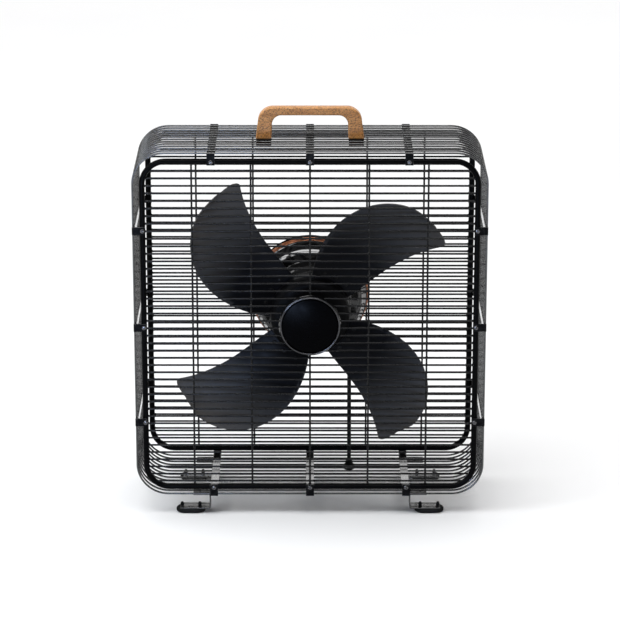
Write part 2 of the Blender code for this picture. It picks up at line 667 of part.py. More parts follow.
def motor_bell_mesh():
    """Front shell: a stepped nose that opens into a drum, pierced for the lead's gland."""
    nose = BELL_NOSE_R
    outer = [(BEARING_R, BELL_FRONT_Y), (nose - 0.0217, BELL_FRONT_Y), (nose - 0.0072, 0.0035),
             (nose - 0.0022, 0.0080), (nose, 0.0140), (nose + 0.0040, 0.0350),
             (BELL_SHOULDER_R - 0.0090, 0.0395), (BELL_SHOULDER_R - 0.0025, 0.0420),
             (BELL_SHOULDER_R, BELL_SHOULDER_Y), (BELL_REAR_R, BELL_REAR_Y)]
    nose -= BELL_WALL
    shoulder = BELL_SHOULDER_R - BELL_WALL
    seat = BEARING_R + 0.0035
    inner = [(BELL_REAR_R - BELL_WALL, BELL_REAR_Y), (shoulder, BELL_SHOULDER_Y + 0.0002),
             (shoulder - 0.0035, 0.0440), (shoulder - 0.0100, 0.0415), (nose + 0.0025, 0.0370),
             (nose - 0.0015, 0.0145), (nose - 0.0035, 0.0095), (nose - 0.0085, 0.0058),
             (nose - 0.0205, 0.0035), (seat, 0.0035), (seat, 0.0250), (BEARING_R, 0.0250)]
    shell = turned_mesh("shell", outer + inner, DRUM_SIDES, closed=True)
    reach = LEAD_GLAND_R + GAP
    cutter = prism_mesh("cutter", polygon(LEAD_X, LEAD_TOP_Y, reach, 12), along_z, -0.0900, -0.0400)
    return combine(shell, cutter, "DIFFERENCE")


def rear_bell_mesh():
    """Rear shell: a vented disc with a blind bearing seat, bolt holes and a switch hole."""
    seat = BEARING_R + 0.0035
    profile = [(0, MOTOR_REAR_Y), (BELL_REAR_R - 0.0010, MOTOR_REAR_Y), (BELL_REAR_R, 0.0782),
               (seat, 0.0778), (seat, 0.0680), (BEARING_R, 0.0680), (BEARING_R, 0.0785), (0, 0.0785)]
    disc = turned_mesh("disc", profile, DRUM_SIDES)
    low = CORE_REAR_Y + 0.0075
    high = MOTOR_REAR_Y + 0.0100
    bm = bmesh.new()
    for k in range(SLOT_COUNT):
        turn = 2 * math.pi * (k + 0.5) / SLOT_COUNT
        x, z = VENT_MID_R * math.cos(turn), VENT_MID_R * math.sin(turn)
        if min(math.dist((x, z), bolt) for bolt in bolt_places()) > VENT_R + 0.0060:
            add_prism(bm, polygon(x, z, VENT_R, 8), along_y, low, high)
    add_holes(bm, low, high)
    return combine(disc, close_mesh(bm, "vents"), "DIFFERENCE")


def add_holes(bm, low, high):
    """Clearance holes for the four motor bolts and the knob's stem."""
    for x, z in bolt_places():
        add_prism(bm, polygon(x, z, BOLT_R + GAP, 6), along_y, low, high)
    add_prism(bm, polygon(KNOB_X, KNOB_Z, KNOB_HOLE_R, 10), along_y, low, high)


def bolt_places():
    height = BOLT_ROW * ROW_PITCH
    return [(side * BOLT_X, end * height) for side in (-1, 1) for end in (-1, 1)]


def build_motor(materials, centre):
    gloss = materials["gloss_black"]
    place("motor_front_bell", motor_bell_mesh(), gloss, parent=centre, smooth=True)
    place("motor_rear_bell", rear_bell_mesh(), gloss, parent=centre, smooth=True)

    ring = [(CORE_BORE_R, CORE_FRONT_Y + 0.0008), (CORE_R, CORE_FRONT_Y + 0.0008),
            (CORE_R, CORE_REAR_Y), (CORE_BORE_R, CORE_REAR_Y)]
    core = turned_mesh("core", ring, 32, closed=True)
    core = combine(core, slot_bars(GAP, 0.0400, 0.0700), "DIFFERENCE")
    place("stator_core", core, materials["steel"], parent=centre, smooth=True)

    front_turns = [(0.0440, 0.0405), (0.0470, 0.0375), (0.0520, 0.0380), (0.0545, 0.0420),
                   (0.0550, 0.0464), (0.0440, 0.0464)]
    rear_turns = [(0.0480, 0.0630), (0.0620, 0.0630), (TURNS_R - 0.0050, 0.0645),
                  (TURNS_R - 0.0010, 0.0680), (TURNS_R, 0.0730), (TURNS_R - 0.0040, 0.0770),
                  (TURNS_R - 0.0110, 0.0770), (TURNS_R - 0.0180, 0.0710), (0.0540, 0.0700),
                  (0.0480, 0.0680)]
    coils = turned_mesh("front_turns", front_turns, 24, closed=True)
    coils = combine(coils, slot_bars(0, 0.0440, 0.0680), "UNION")
    coils = combine(coils, turned_mesh("rear_turns", rear_turns, 32, closed=True), "UNION")
    place("stator_windings", coils, materials["copper"], parent=centre, smooth=True)

    bush = (SHAFT_R + 0.0001) / math.cos(math.pi / 16)
    outer = BEARING_R - GAP
    for name, low, high in (("front_bearing", 0.0035, 0.0190), ("rear_bearing", 0.0690, 0.0780)):
        profile = [(bush, low), (outer, low), (outer, high), (bush, high)]
        place(name, turned_mesh(name, profile, 16, closed=True), materials["bronze"],
              parent=centre, smooth=True)

    plate = turned_mesh("plate", [(MOUNT_PLATE_R, PLATE_FRONT_Y), (MOUNT_PLATE_R, PLATE_REAR_Y)], 32)
    bm = bmesh.new()
    add_holes(bm, PLATE_FRONT_Y - 0.001, PLATE_REAR_Y + 0.001)
    plate = combine(plate, close_mesh(bm, "holes"), "DIFFERENCE")
    place("motor_mount_plate", plate, materials["black_wire"], parent=centre, smooth=True)
    seat = PLATE_REAR_Y + GAP
    for number, (x, z) in enumerate(bolt_places(), start=1):
        name = f"motor_bolt_{number}"
        profile = [(BOLT_R, MOTOR_REAR_Y - 0.0015), (BOLT_R, seat), (2 * BOLT_R, seat),
                   (2 * BOLT_R, seat + 0.0017), (1.25 * BOLT_R, seat + 0.0027)]
        place(name, turned_mesh(name, profile, 6), materials["steel"], (x, 0, z), centre)


def build_controls(materials, centre):
    """Run capacitor, rotary switch and its knob, on the back of the motor."""
    outline = rectangle(-0.016, 0.016, 0.0215, 0.0375)
    block = prism_mesh("run_capacitor", outline, along_y, 0.0664, 0.0772)
    place("run_capacitor", block, materials["plastic"], parent=centre)
    switch = turned_mesh("speed_switch", [(0.0105, 0.0668), (0.0105, 0.0772)], 12)
    place("speed_switch", switch, materials["plastic"], (KNOB_X, 0, KNOB_Z), centre)
    axis = empty_at("knob_axis", (KNOB_X, 0, SHAFT_Z + KNOB_Z))
    seat = PLATE_REAR_Y + GAP
    profile = [(KNOB_STEM_R, 0.0776), (KNOB_STEM_R, seat), (KNOB_R, seat), (KNOB_R, seat + 0.0030),
               (KNOB_R * 0.93, seat + 0.0040)]
    knob = turned_mesh("knob", profile, 20)
    half = KNOB_R * 0.80
    bar = prism_mesh("bar", rectangle(-0.0026, 0.0026, -half, half), along_y, seat + 0.0020, BADGE_FRONT)
    place("speed_knob", combine(knob, bar, "UNION"), materials["plastic"], parent=axis)


def lead_route():
    """The motor lead's centreline: straight out of each gland, with one slow bend."""
    top = Vector((LEAD_X, LEAD_TOP_Y, SHAFT_Z - LEAD_TOP_DROP))
    bottom = Vector((LEAD_X, LEAD_FLOOR_Y, FOOT_H + WIRE + LEAD_FLOOR_RISE))
    points = []
    for k in range(LEAD_POINTS):
        part = k / (LEAD_POINTS - 1)
        ease = part * part * (3 - 2 * part)
        points.append(Vector((top.x, top.y + (bottom.y - top.y) * ease,
                              top.z + (bottom.z - top.z) * part)))
    return points


def build_lead(materials):
    curve = bpy.data.curves.new("motor_lead", "CURVE")
    curve.dimensions = "3D"
    curve.bevel_depth = LEAD_R
    curve.bevel_resolution = 2
    curve.use_fill_caps = True
    route = lead_route()
    spline = curve.splines.new("POLY")
    spline.points.add(len(route) - 1)
    for point, place_at in zip(spline.points, route):
        point.co = (*place_at, 1.0)
    lead = bpy.data.objects.new("motor_lead", curve)
    bpy.context.scene.collection.objects.link(lead)
    curve.materials.append(materials["lead"])

    gland = [(LEAD_GLAND_R, -0.0480), (LEAD_GLAND_R, -0.0700), (0.0072, -0.0700),
             (0.0072, -0.0730), (0.0052, -0.0735), (0.0042, -0.0840)]
    mesh = turned_mesh("motor_lead_gland", gland, 12, upright=True)
    place("motor_lead_gland", mesh, materials["rubber"], (LEAD_X, LEAD_TOP_Y, SHAFT_Z), smooth=True)
    above = WIRE + GAP
    gland = [(0.0078, -GAP - 0.0020), (0.0085, -GAP - 0.0016), (0.0085, -GAP), (0.0050, -GAP),
             (0.0050, above), (0.0085, above), (0.0085, above + 0.0020), (0.0060, above + 0.0030),
             (0.0045, above + 0.0097)]
    mesh = turned_mesh("cage_lead_gland", gland, 12, upright=True)
    place("cage_lead_gland", mesh, materials["rubber"], (LEAD_X, LEAD_FLOOR_Y, FOOT_H), smooth=True)


# ---------------------------------------------------------------- the whole fan
def main():
    for obj in list(bpy.data.objects):
        bpy.data.objects.remove(obj, do_unlink=True)
    materials = make_materials()
    build_cage(materials, empty_at("sleeve_centre", (0, 0, SLEEVE_Z)))
    shaft_line = empty_at("shaft_line", (0, 0, SHAFT_Z))
    build_badge(materials, shaft_line)
    build_handle(materials)
    build_feet(materials)
    build_rotor(materials)
    build_motor(materials, shaft_line)
    build_controls(materials, shaft_line)
    build_lead(materials)


main()
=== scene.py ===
"""Looks of the box fan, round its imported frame."""
from math import copysign, cos, dist, pi, radians, sin, sqrt, tan
import random

import bmesh
import bpy
from mathutils import Matrix, Vector


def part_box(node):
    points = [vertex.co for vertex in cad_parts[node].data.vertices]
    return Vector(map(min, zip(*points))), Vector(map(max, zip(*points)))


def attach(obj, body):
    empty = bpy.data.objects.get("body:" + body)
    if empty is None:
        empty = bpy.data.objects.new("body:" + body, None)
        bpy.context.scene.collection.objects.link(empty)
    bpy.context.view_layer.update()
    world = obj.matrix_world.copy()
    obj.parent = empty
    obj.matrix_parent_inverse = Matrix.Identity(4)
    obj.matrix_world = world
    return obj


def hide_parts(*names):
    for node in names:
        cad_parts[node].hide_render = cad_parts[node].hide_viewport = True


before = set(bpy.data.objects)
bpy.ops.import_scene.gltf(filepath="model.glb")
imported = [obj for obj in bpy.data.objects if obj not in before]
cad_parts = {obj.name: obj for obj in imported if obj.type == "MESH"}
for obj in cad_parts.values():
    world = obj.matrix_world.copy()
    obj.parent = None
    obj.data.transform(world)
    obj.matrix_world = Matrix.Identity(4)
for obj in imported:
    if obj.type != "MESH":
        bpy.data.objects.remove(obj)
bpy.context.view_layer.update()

# ---- sizes in metres
WIRE_R = 0.00145  # hoops and grille wires
HOOP_COUNT = 13
SLEEVE_DEPTH = 0.165
HOOP_CORNER = 0.048
STRIP_W = 0.012
STRIP_T = 0.002
STRIP_X = 0.144  # outer strips above and below, from the middle
STRIP_Z = 0.148  # outer strips at the sides, from the middle
STRIP_SINK = 0.0003  # how far the hoops are let into a strip
TAB_T = 0.0016
TAB_PAST_RING = 0.0004
RING_W = 0.4893
RING_H = 0.5033
RING_CORNER = 0.035
RING_R = 0.00425
RING_Y = 0.0835
ROWS = 43
ROW_DROP = 0.002
ROW_PITCH = RING_H / (ROWS + 1)
ROW_Y = RING_Y + WIRE_R
ROW_BOW = 0.00018  # most that a level wire bends up or down
COLUMNS = 5
COLUMN_PITCH = 0.0863
COLUMN_Y = RING_Y - 0.00125
BLADE_TIP_R = 0.229
BLADE_ROOT_R = 0.0592
BLADE_FIRST_TIP = 27  # degrees
BLADE_T = 0.0018
BLADE_FRONT_Y = -0.028
BLADE_DEPTH = 0.032
BLADE_CAMBER = 0.005
BELLY_AT = 0.63  # where the leading edge bulges most, in tip radii
BELLY = 4  # degrees
TIP_ROUND = 0.035  # length of the rounded corner, in tip radii
RIVET_CIRCLE_R = 0.069
HUB_R = 0.0605
LEAD_R = 0.003
LEAD_TOP_Y = 0.0545
LEAD_FLOOR_Y = 0.034375
DRAWS = random.Random(11)


def middle(node):
    low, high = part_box(node)
    return (Vector(low) + Vector(high)) / 2


def half_size(node):
    low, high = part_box(node)
    return (Vector(high) - Vector(low)) / 2


SLEEVE = middle("body_cage")
SLEEVE_TOP = Vector(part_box("body_cage")[1])
HALF_W = SLEEVE_TOP.x
HALF_H = SLEEVE_TOP.z - SLEEVE.z
TAB_OUT = SLEEVE_TOP.y
AXIS = middle("motor_shaft") * Vector((1, 0, 1))
HOOP_PITCH = SLEEVE_DEPTH / (HOOP_COUNT - 1)


# ---- mesh helpers
class Shape:
    """Collects vertices and faces of one piece."""

    def __init__(self):
        self.verts = []
        self.faces = []

    def rings(self, rings, closed=False, caps=False):
        """Joins rings of points with quads; a closed run joins the last to the first."""
        base = len(self.verts)
        count = len(rings[0])
        for ring in rings:
            self.verts.extend(ring)
        total = len(rings)
        for i in range(total if closed else total - 1):
            here = base + i * count
            there = base + (i + 1) % total * count
            for j in range(count):
                k = (j + 1) % count
                self.faces.append((here + j, there + j, there + k, here + k))
        if caps and not closed:
            self.faces.append(tuple(range(base, base + count)))
            last = base + (total - 1) * count
            self.faces.append(tuple(range(last + count - 1, last - 1, -1)))
        return self

    def mesh(self, name):
        """The mesh of the shape, with its faces turned outwards."""
        mesh = bpy.data.meshes.new(name)
        mesh.from_pydata(self.verts, [], self.faces)
        mesh.validate()
        bm = bmesh.new()
        bm.from_mesh(mesh)
        bmesh.ops.recalc_face_normals(bm, faces=bm.faces)
        bm.to_mesh(mesh)
        bm.free()
        return mesh


def circle(radius, sides):
    return [(radius * cos(2 * pi * k / sides), radius * sin(2 * pi * k / sides))
            for k in range(sides)]


def swung(points, turn):
    """Flat points turned about the origin."""
    return [(u * cos(turn) - v * sin(turn), u * sin(turn) + v * cos(turn))
            for u, v in points]


def mm(*rows):
    """Rows of numbers in millimetres, brought to metres."""
    return [tuple(value / 1000 for value in row) for row in rows]


def rounded(corners, steps=5):
    """A closed outline of (u, v, radius) corners, each turned into an arc of its own radius."""
    result = []
    count = len(corners)
    for k, (*point, radius) in enumerate(corners):
        here = Vector(point)
        back = Vector(corners[k - 1][:2]) - here
        ahead = Vector(corners[(k + 1) % count][:2]) - here
        if radius <= 0 or back.length < 1e-9 or ahead.length < 1e-9:
            result.append(tuple(here))
            continue
        half = back.angle(ahead) / 2
        reach = min(radius / tan(half), 0.49 * back.length, 0.49 * ahead.length)
        start = here + back.normalized() * reach
        end = here + ahead.normalized() * reach
        for i in range(steps + 1):
            t = i / steps
            result.append(tuple(start * (1 - t) ** 2 + here * 2 * t * (1 - t) + end * t ** 2))
    return result


def plate_outline(half_u, half_v, corner):
    """A rectangle round the origin with rounded corners."""
    return rounded([(side_u * half_u, side_v * half_v, corner)
                    for side_u, side_v in ((-1, -1), (1, -1), (1, 1), (-1, 1))])


def rounded_rectangle(half_w, half_h, radius, steps):
    """Centreline points of a rounded rectangle, with their outward angles."""
    points = []
    for quarter in range(4):
        side_x = 1 if quarter in (0, 3) else -1
        side_z = 1 if quarter in (0, 1) else -1
        for k in range(steps + 1):
            angle = pi / 2 * (quarter + k / steps)
            points.append((side_x * (half_w - radius) + radius * cos(angle),
                           side_z * (half_h - radius) + radius * sin(angle), angle))
    return points


def loop_tube(shape, outline, radius, sides, centre, y):
    """A round rod bent along a closed flat outline."""
    rings = []
    for x, z, angle in outline:
        rings.append([(centre.x + x + u * cos(angle), y + v,
                       centre.z + z + u * sin(angle)) for u, v in circle(radius, sides)])
    shape.rings(rings, closed=True)


def path_tube(shape, path, radius, sides, closed=False):
    """A round rod along any path."""
    rings = []
    count = len(path)
    side = None
    for k, point in enumerate(path):
        ahead = path[(k + 1) % count] if closed or k < count - 1 else point
        behind = path[k - 1] if closed or k else point
        along = (ahead - behind).normalized()
        if side is None:
            side = along.orthogonal()
        side = (side - along * side.dot(along)).normalized()
        other = along.cross(side)
        rings.append([tuple(point + side * u + other * v) for u, v in circle(radius, sides)])
    shape.rings(rings, closed=closed, caps=not closed)


def bead(shape, centre, axes, rows=5, sides=10):
    """An ellipsoid, such as a weld spot, with its half axes."""
    first, second, third = axes
    rings = []
    for i in range(rows + 1):
        lift = pi * (i + 0.35) / (rows + 0.7) - pi / 2
        rings.append([tuple(centre + third * sin(lift) + first * (cos(lift) * u)
                            + second * (cos(lift) * v)) for u, v in circle(1, sides)])
    shape.rings(rings, caps=True)


def lathe(profile, sides, upright=False, flute=0, flutes=6, shape=None):
    """Turns a profile of (radius, distance) about Y, or about Z for an upright piece.

    A profile that starts on the axis, or a single edge, is capped; any other one is a loop.
    """
    closed = profile[0][0] > 0.001 and len(profile) > 2
    rings = []
    for radius, along in profile:
        ring = []
        for k in range(sides):
            turn = 2 * pi * k / sides
            reach = radius * (1 - flute * (0.5 + 0.5 * cos(flutes * turn)))
            x, z = reach * cos(turn), reach * sin(turn)
            ring.append((x, z, along) if upright else (x, along, z))
        rings.append(ring)
    return (shape or Shape()).rings(rings, closed=closed, caps=not closed)


def extrude(outline, spot, low, high, shape=None):
    """Extrudes a flat outline between two distances."""
    rings = [[spot(u, v, w) for u, v in outline] for w in (low, high)]
    return (shape or Shape()).rings(rings, caps=True)


def along_y(u, v, w):
    return (u, w, v)


def add_object(name, data):
    obj = bpy.data.objects.new(name, data)
    bpy.context.scene.collection.objects.link(obj)
    return obj


def cut(mesh, other):
    """Takes one mesh out of another."""
    body, tool = add_object("body", mesh), add_object("tool", other)
    modifier = body.modifiers.new("cut", "BOOLEAN")
    modifier.operation = "DIFFERENCE"
    modifier.object = tool
    modifier.solver = "EXACT"
    bpy.context.view_layer.update()
    result = bpy.data.meshes.new_from_object(body.evaluated_get(bpy.context.evaluated_depsgraph_get()))
    for obj in (body, tool):
        bpy.data.objects.remove(obj, do_unlink=True)
    return result


def round_edges(obj, width, segments, sharp, harden=True):
    edge = obj.modifiers.new("edge", "BEVEL")
    edge.width = width
    edge.segments = segments
    edge.limit_method = "ANGLE"
    edge.angle_limit = radians(sharp)
    edge.harden_normals = harden


def piece(name, shape, material, slot, stands_for="", body="fan_frame", at=(0, 0, 0),
          turn=(0, 0, 0), bevel=0, sharp=38, segments=3):
    """Makes one visible piece, in place, on its body."""
    mesh = shape.mesh(name) if isinstance(shape, Shape) else shape
    obj = add_object(name, mesh)
    obj.location = at
    obj.rotation_euler = turn
    if not mesh.materials:
        mesh.materials.append(material)
    mesh.shade_smooth()
    if bevel:
        round_edges(obj, bevel, segments, sharp)
    else:
        mesh.set_sharp_from_angle(angle=radians(sharp))
    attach(obj, body)
    if stands_for:
        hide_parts(stands_for)
    return obj


# ---- materials
class Nodes:
    """Short calls for building one material's nodes."""

    def __init__(self, name):
        self.material = bpy.data.materials.new(name)
        self.material.use_nodes = True
        self.tree = self.material.node_tree
        self.shader = self.tree.nodes["Principled BSDF"]
        self.coords = self.add("TexCoord", "Object")

    def feed(self, socket, value):
        """Links an output to a socket, or sets the socket's own value."""
        if isinstance(value, bpy.types.NodeSocket):
            self.tree.links.new(value, socket)
        else:
            socket.default_value = (*value, 1) if socket.type == "RGBA" else value

    def add(self, kind, output, inputs=None, **settings):
        """Makes a node and hands back one of its outputs."""
        node = self.tree.nodes.new("ShaderNode" + kind)
        for key, value in settings.items():
            setattr(node, key, value)
        for key, value in (inputs or {}).items():
            self.feed(node.inputs[key], value)
        return node.outputs[output]

    def stretch(self, scale):
        return self.add("Mapping", "Vector", {"Scale": scale, "Vector": self.coords})

    def noise(self, scale, detail=4, rough=0.55, vector=None, distortion=0):
        return self.add("TexNoise", "Fac", {
            "Scale": scale, "Detail": detail, "Roughness": rough, "Distortion": distortion,
            "Vector": vector or self.coords})

    def spread(self, value, low, high, start=0.3, end=0.7):
        return self.add("MapRange", "Result", {
            "From Min": start, "From Max": end, "To Min": low, "To Max": high, "Value": value})

    def ramp(self, value, *stops):
        result = self.add("ValToRGB", "Color", {"Fac": value})
        elements = result.node.color_ramp.elements
        while len(elements) < len(stops):
            elements.new(0.5)
        for element, (spot, colour) in zip(elements, stops):
            element.position = spot
            element.color = (*colour, 1)
        return result

    def mix(self, factor, first, second):
        return self.add("Mix", "Result", {"Factor": factor, "A": first, "B": second}, data_type="RGBA")

    def stain(self, base, value, amount, colour, start=0.3, end=0.7):
        """Lays a colour over the base where the value is high."""
        return self.mix(self.spread(value, 0, amount, start, end), base, colour)

    def finish(self, colour, rough, relief, **values):
        """Feeds the shader; the relief is (height value, metres) pairs, coarse first."""
        normal = None
        for height, distance in relief:
            inputs = {"Distance": distance, "Strength": 1, "Height": height}
            if normal:
                inputs["Normal"] = normal
            normal = self.add("Bump", "Normal", inputs)
        values.update(Base_Color=colour, Roughness=rough, Normal=normal)
        for key, value in values.items():
            self.feed(self.shader.inputs[key.replace("_", " ")], value)
        return self.material


def grey(level, blue=None):
    return (level, level, level if blue is None else blue)


def edge_wear(nodes, base, colour, amount):
    """Lets the edges of a piece show a paler, rubbed colour."""
    rub = nodes.spread(nodes.add("NewGeometry", "Pointiness"), 0, amount, 0.52, 0.6)
    patch = nodes.spread(nodes.noise(160, 5), 0, 1, 0.42, 0.62)
    return nodes.mix(nodes.add("Math", "Value", {0: rub, 1: patch}, operation="MULTIPLY"), base, colour)


def coated(name, dark, light, rough, peel=2e-5, peel_scale=700, coat=0, coat_rough=0.08,
           metallic=0, specular=0.5, wear=None):
    """Paint, plastic or plate: mottled, with orange peel and rubbed edges."""
    nodes = Nodes(name)
    base = nodes.ramp(nodes.noise(26, 6, 0.6), (0.3, dark), (0.7, light))
    dust = tuple(min(1, c * 3 + 0.02) for c in light)
    base = nodes.stain(base, nodes.noise(420, 3, 0.7), 0.16, dust, 0.62, 0.8)
    if wear:
        base = edge_wear(nodes, base, grey(wear[0]), wear[1])
    smudge = nodes.noise(60, 5, 0.65, distortion=0.6)
    relief = (nodes.noise(90, 2, 0.5), peel * 2), (nodes.noise(peel_scale, 2, 0.5), peel)
    return nodes.finish(base, nodes.spread(smudge, rough * 0.78, rough * 1.3), relief, Metallic=metallic,
                        Coat_Weight=coat, Coat_Roughness=coat_rough, Specular_IOR_Level=specular)


def brushed(name, dark, light, rough, stretch, scale, wear=None):
    """Bare metal with a brushed or turned grain."""
    nodes = Nodes(name)
    grain = nodes.noise(scale, 6, 0.7, nodes.stretch(stretch))
    base = nodes.ramp(grain, (0.3, dark), (0.7, light))
    base = nodes.stain(base, nodes.noise(35, 4), 0.45, tuple(c * 0.62 for c in dark), 0.45, 0.75)
    if wear:
        base = edge_wear(nodes, base, *wear)
    return nodes.finish(base, nodes.spread(grain, rough * 0.75, rough * 1.35), ((grain, 1.2e-5),),
                        Metallic=1)


def radial(nodes):
    """Distance from the piece's Y axis, as the first part of a vector."""
    split = nodes.add("SeparateXYZ", "X", {"Vector": nodes.coords}).node.outputs
    flat = nodes.add("CombineXYZ", "Vector", {"X": split["X"], "Y": split["Z"]})
    length = nodes.add("VectorMath", "Value", {0: flat}, operation="LENGTH")
    return nodes.add("CombineXYZ", "Vector", {"X": length, "Y": split["Y"]})


def wood():
    """Warm brown hardwood, grain along X, with fine dark flecks and pores."""
    nodes = Nodes("oiled_wood")
    long = nodes.stretch((0.1, 1, 1))
    rings = nodes.noise(120, 6, 0.6, long, 1.2)
    fine = nodes.noise(700, 3, 0.7, long)
    flecks = nodes.noise(640, 3, 0.7, nodes.stretch((0.6, 1, 1)))
    base = nodes.ramp(rings, (0.28, (0.58, 0.235, 0.056)), (0.5, (0.78, 0.35, 0.092)),
                      (0.74, (0.92, 0.47, 0.15)))
    base = nodes.stain(base, fine, 0.45, (0.24, 0.095, 0.028))
    base = nodes.stain(base, flecks, 0.9, (0.12, 0.045, 0.014), 0.5, 0.6)
    base = edge_wear(nodes, base, (0.78, 0.5, 0.36), 1)
    return nodes.finish(base, nodes.spread(fine, 0.38, 0.6), ((rings, 0.00012), (flecks, -6e-5)),
                        Coat_Weight=0.06, Coat_Roughness=0.3, Specular_IOR_Level=0.35)


def blade_paint():
    """Charcoal coat with painted shade: dark near the hub and paler towards the tip, as light falls on the
    blade; with faint flakes and a grain along the radius.
    """
    nodes = Nodes("blade_coat")
    turned = radial(nodes)
    sweep = nodes.noise(55, 4, 0.6, turned)
    flake = nodes.noise(2600, 2, 0.6)
    # painted shade: the base runs from near black at the hub to a paler grey at the tip
    painted_hub_shade = nodes.spread(nodes.add("SeparateXYZ", "X", {"Vector": turned}), 0, 1, 0.07, 0.23)
    base = nodes.ramp(painted_hub_shade, (0, (0.0008, 0.0012, 0.0026)), (0.3, (0.006, 0.0068, 0.0095)),
                      (0.7, (0.094, 0.092, 0.09)), (1, (0.146, 0.136, 0.124)))
    base = nodes.stain(base, nodes.noise(14, 5), 0.3, grey(0.009, 0.0098))
    base = nodes.stain(base, flake, 0.5, (0.024, 0.023, 0.023), 0.56, 0.72)
    base = edge_wear(nodes, base, grey(0.07), 0.6)
    return nodes.finish(base, nodes.spread(sweep, 0.3, 0.46), ((sweep, 6e-5), (flake, 8e-6)),
                        Coat_Weight=0.02, Coat_Roughness=0.22, Specular_IOR_Level=0.05)


def copper():
    """Varnished copper wire, each turn a little different in tone."""
    nodes = Nodes("varnished_copper")
    tone = nodes.noise(900, 2, 0.5, radial(nodes))
    patch = nodes.noise(55, 5)
    base = nodes.ramp(tone, (0.3, (0.2, 0.062, 0.026)), (0.5, (0.36, 0.128, 0.058)),
                      (0.72, (0.58, 0.245, 0.125)))
    base = nodes.stain(base, patch, 0.6, (0.14, 0.042, 0.018), 0.45, 0.72)
    return nodes.finish(base, nodes.spread(patch, 0.2, 0.42), ((nodes.noise(1400, 3), 3e-5),),
                        Metallic=1, Coat_Weight=0.5, Coat_Roughness=0.15)


def laminated():
    """Stacked steel sheets: fine dark lines across Y."""
    nodes = Nodes("stacked_steel")
    wave = nodes.add("TexWave", "Fac", {"Scale": 320, "Distortion": 0.4, "Vector": nodes.coords},
                     bands_direction="Y")
    base = nodes.ramp(wave, (0.15, (0.05, 0.045, 0.045)), (0.6, (0.26, 0.25, 0.25)))
    base = nodes.stain(base, nodes.noise(70, 5), 0.5, (0.17, 0.12, 0.09))
    return nodes.finish(base, nodes.spread(nodes.noise(200, 3), 0.35, 0.6), ((wave, 8e-5),), Metallic=0.9)


def turned_metal(name, dark, light, rough):
    """Plate polished in circles round the piece's own axis."""
    nodes = Nodes(name)
    grain = nodes.noise(2400, 3, 0.7, radial(nodes))
    base = nodes.stain(nodes.ramp(grain, (0.3, dark), (0.7, light)), nodes.noise(40, 4), 0.35, dark)
    return nodes.finish(base, nodes.spread(grain, rough * 0.8, rough * 1.3), ((grain, 6e-6),),
                        Metallic=1)


def rubber(name, shade, relief=6e-5):
    """Matt black rubber with a fine grain and a little dust."""
    nodes = Nodes(name)
    grain = nodes.noise(1500, 3, 0.6)
    base = nodes.ramp(nodes.noise(45, 6), (0.3, grey(shade, shade * 1.03)), (0.72, grey(shade * 1.9)))
    base = nodes.stain(base, nodes.noise(300, 4), 0.2, (0.06, 0.058, 0.056), 0.58, 0.78)
    return nodes.finish(base, nodes.spread(grain, 0.62, 0.86),
                        ((nodes.noise(110, 3), 0.0001), (grain, relief)), Specular_IOR_Level=0.15)


def floor_paper():
    """Pale matt paper."""
    nodes = Nodes("pale_floor")
    base = nodes.ramp(nodes.noise(1.3, 3), (0.3, grey(0.925, 0.93)), (0.7, grey(0.945)))
    return nodes.finish(base, nodes.spread(nodes.noise(30, 3), 0.86, 0.95),
                        ((nodes.noise(400, 3), 5e-5),), Specular_IOR_Level=0.1)


ENAMEL = coated("wire_enamel", grey(0.001, 0.0012), grey(0.003, 0.0034), 0.24, coat=0.16, coat_rough=0.04,
                peel_scale=1100, peel=8e-6, specular=0.08, wear=(0.04, 0.2))
HOOP_COAT = coated("hoop_enamel", grey(0.003, 0.0032), (0.008, 0.0078, 0.0076), 0.22, coat=1,
                   coat_rough=0.09, peel_scale=500, peel=2e-6, wear=(0.06, 0.2))
RING_COAT = coated("ring_enamel", grey(0.0008, 0.001), grey(0.0026, 0.003), 0.28, peel_scale=900,
                   peel=1e-5, specular=0.03, wear=(0.03, 0.2))
SHEET = coated("sheet_enamel", grey(0.0012, 0.0014), grey(0.004, 0.0044), 0.34, specular=0.04,
               wear=(0.08, 0.5))
# paler, glossier copy of the black sheet enamel, put on faces by which way they point, as painted highlight
LIT_STRIP_COAT = coated("strip_enamel_lit_copy", grey(0.003, 0.0034), grey(0.008, 0.0086), 0.26, coat=1,
                    coat_rough=0.09, specular=0.4, wear=(0.08, 0.4))
GLOSS = coated("motor_enamel", grey(0.0008, 0.0011), grey(0.0024, 0.003), 0.22, coat=0.8,
               coat_rough=0.025, peel=3e-6, peel_scale=420, specular=0.1)
DOME = coated("badge_lacquer", grey(0.0003, 0.0006), (0.0006, 0.0007, 0.0012), 0.24, peel=4e-6,
              peel_scale=300, specular=0.02)
PLASTIC = coated("moulded_black", grey(0.0012, 0.0015), grey(0.0045, 0.0052), 0.46, peel=4e-5,
                 peel_scale=1900, specular=0.06, wear=(0.05, 0.4))
RIM = coated("polished_black", grey(0.0006, 0.0008), grey(0.002, 0.0024), 0.16, coat=0.8,
             coat_rough=0.03, peel=4e-6, peel_scale=500, specular=0.25)
BEAD = turned_metal("polished_bead", grey(0.05, 0.054), grey(0.12, 0.13), 0.12)
ZINC = brushed("zinc_plate", grey(0.5), (0.78, 0.77, 0.74), 0.26, (1, 1, 0.2), 900,
               wear=(grey(0.9, 0.88), 0.5))
BLACK_SCREW = coated("black_oxide", grey(0.03, 0.033), grey(0.075, 0.08), 0.16, metallic=1, coat=0.8,
                     coat_rough=0.04, peel_scale=1500, wear=(0.6, 0.5))
RIVET = coated("blackened_rivet", grey(0.0015, 0.002), grey(0.006, 0.007), 0.4, coat=0.1,
               specular=0.08, wear=(0.05, 0.5))
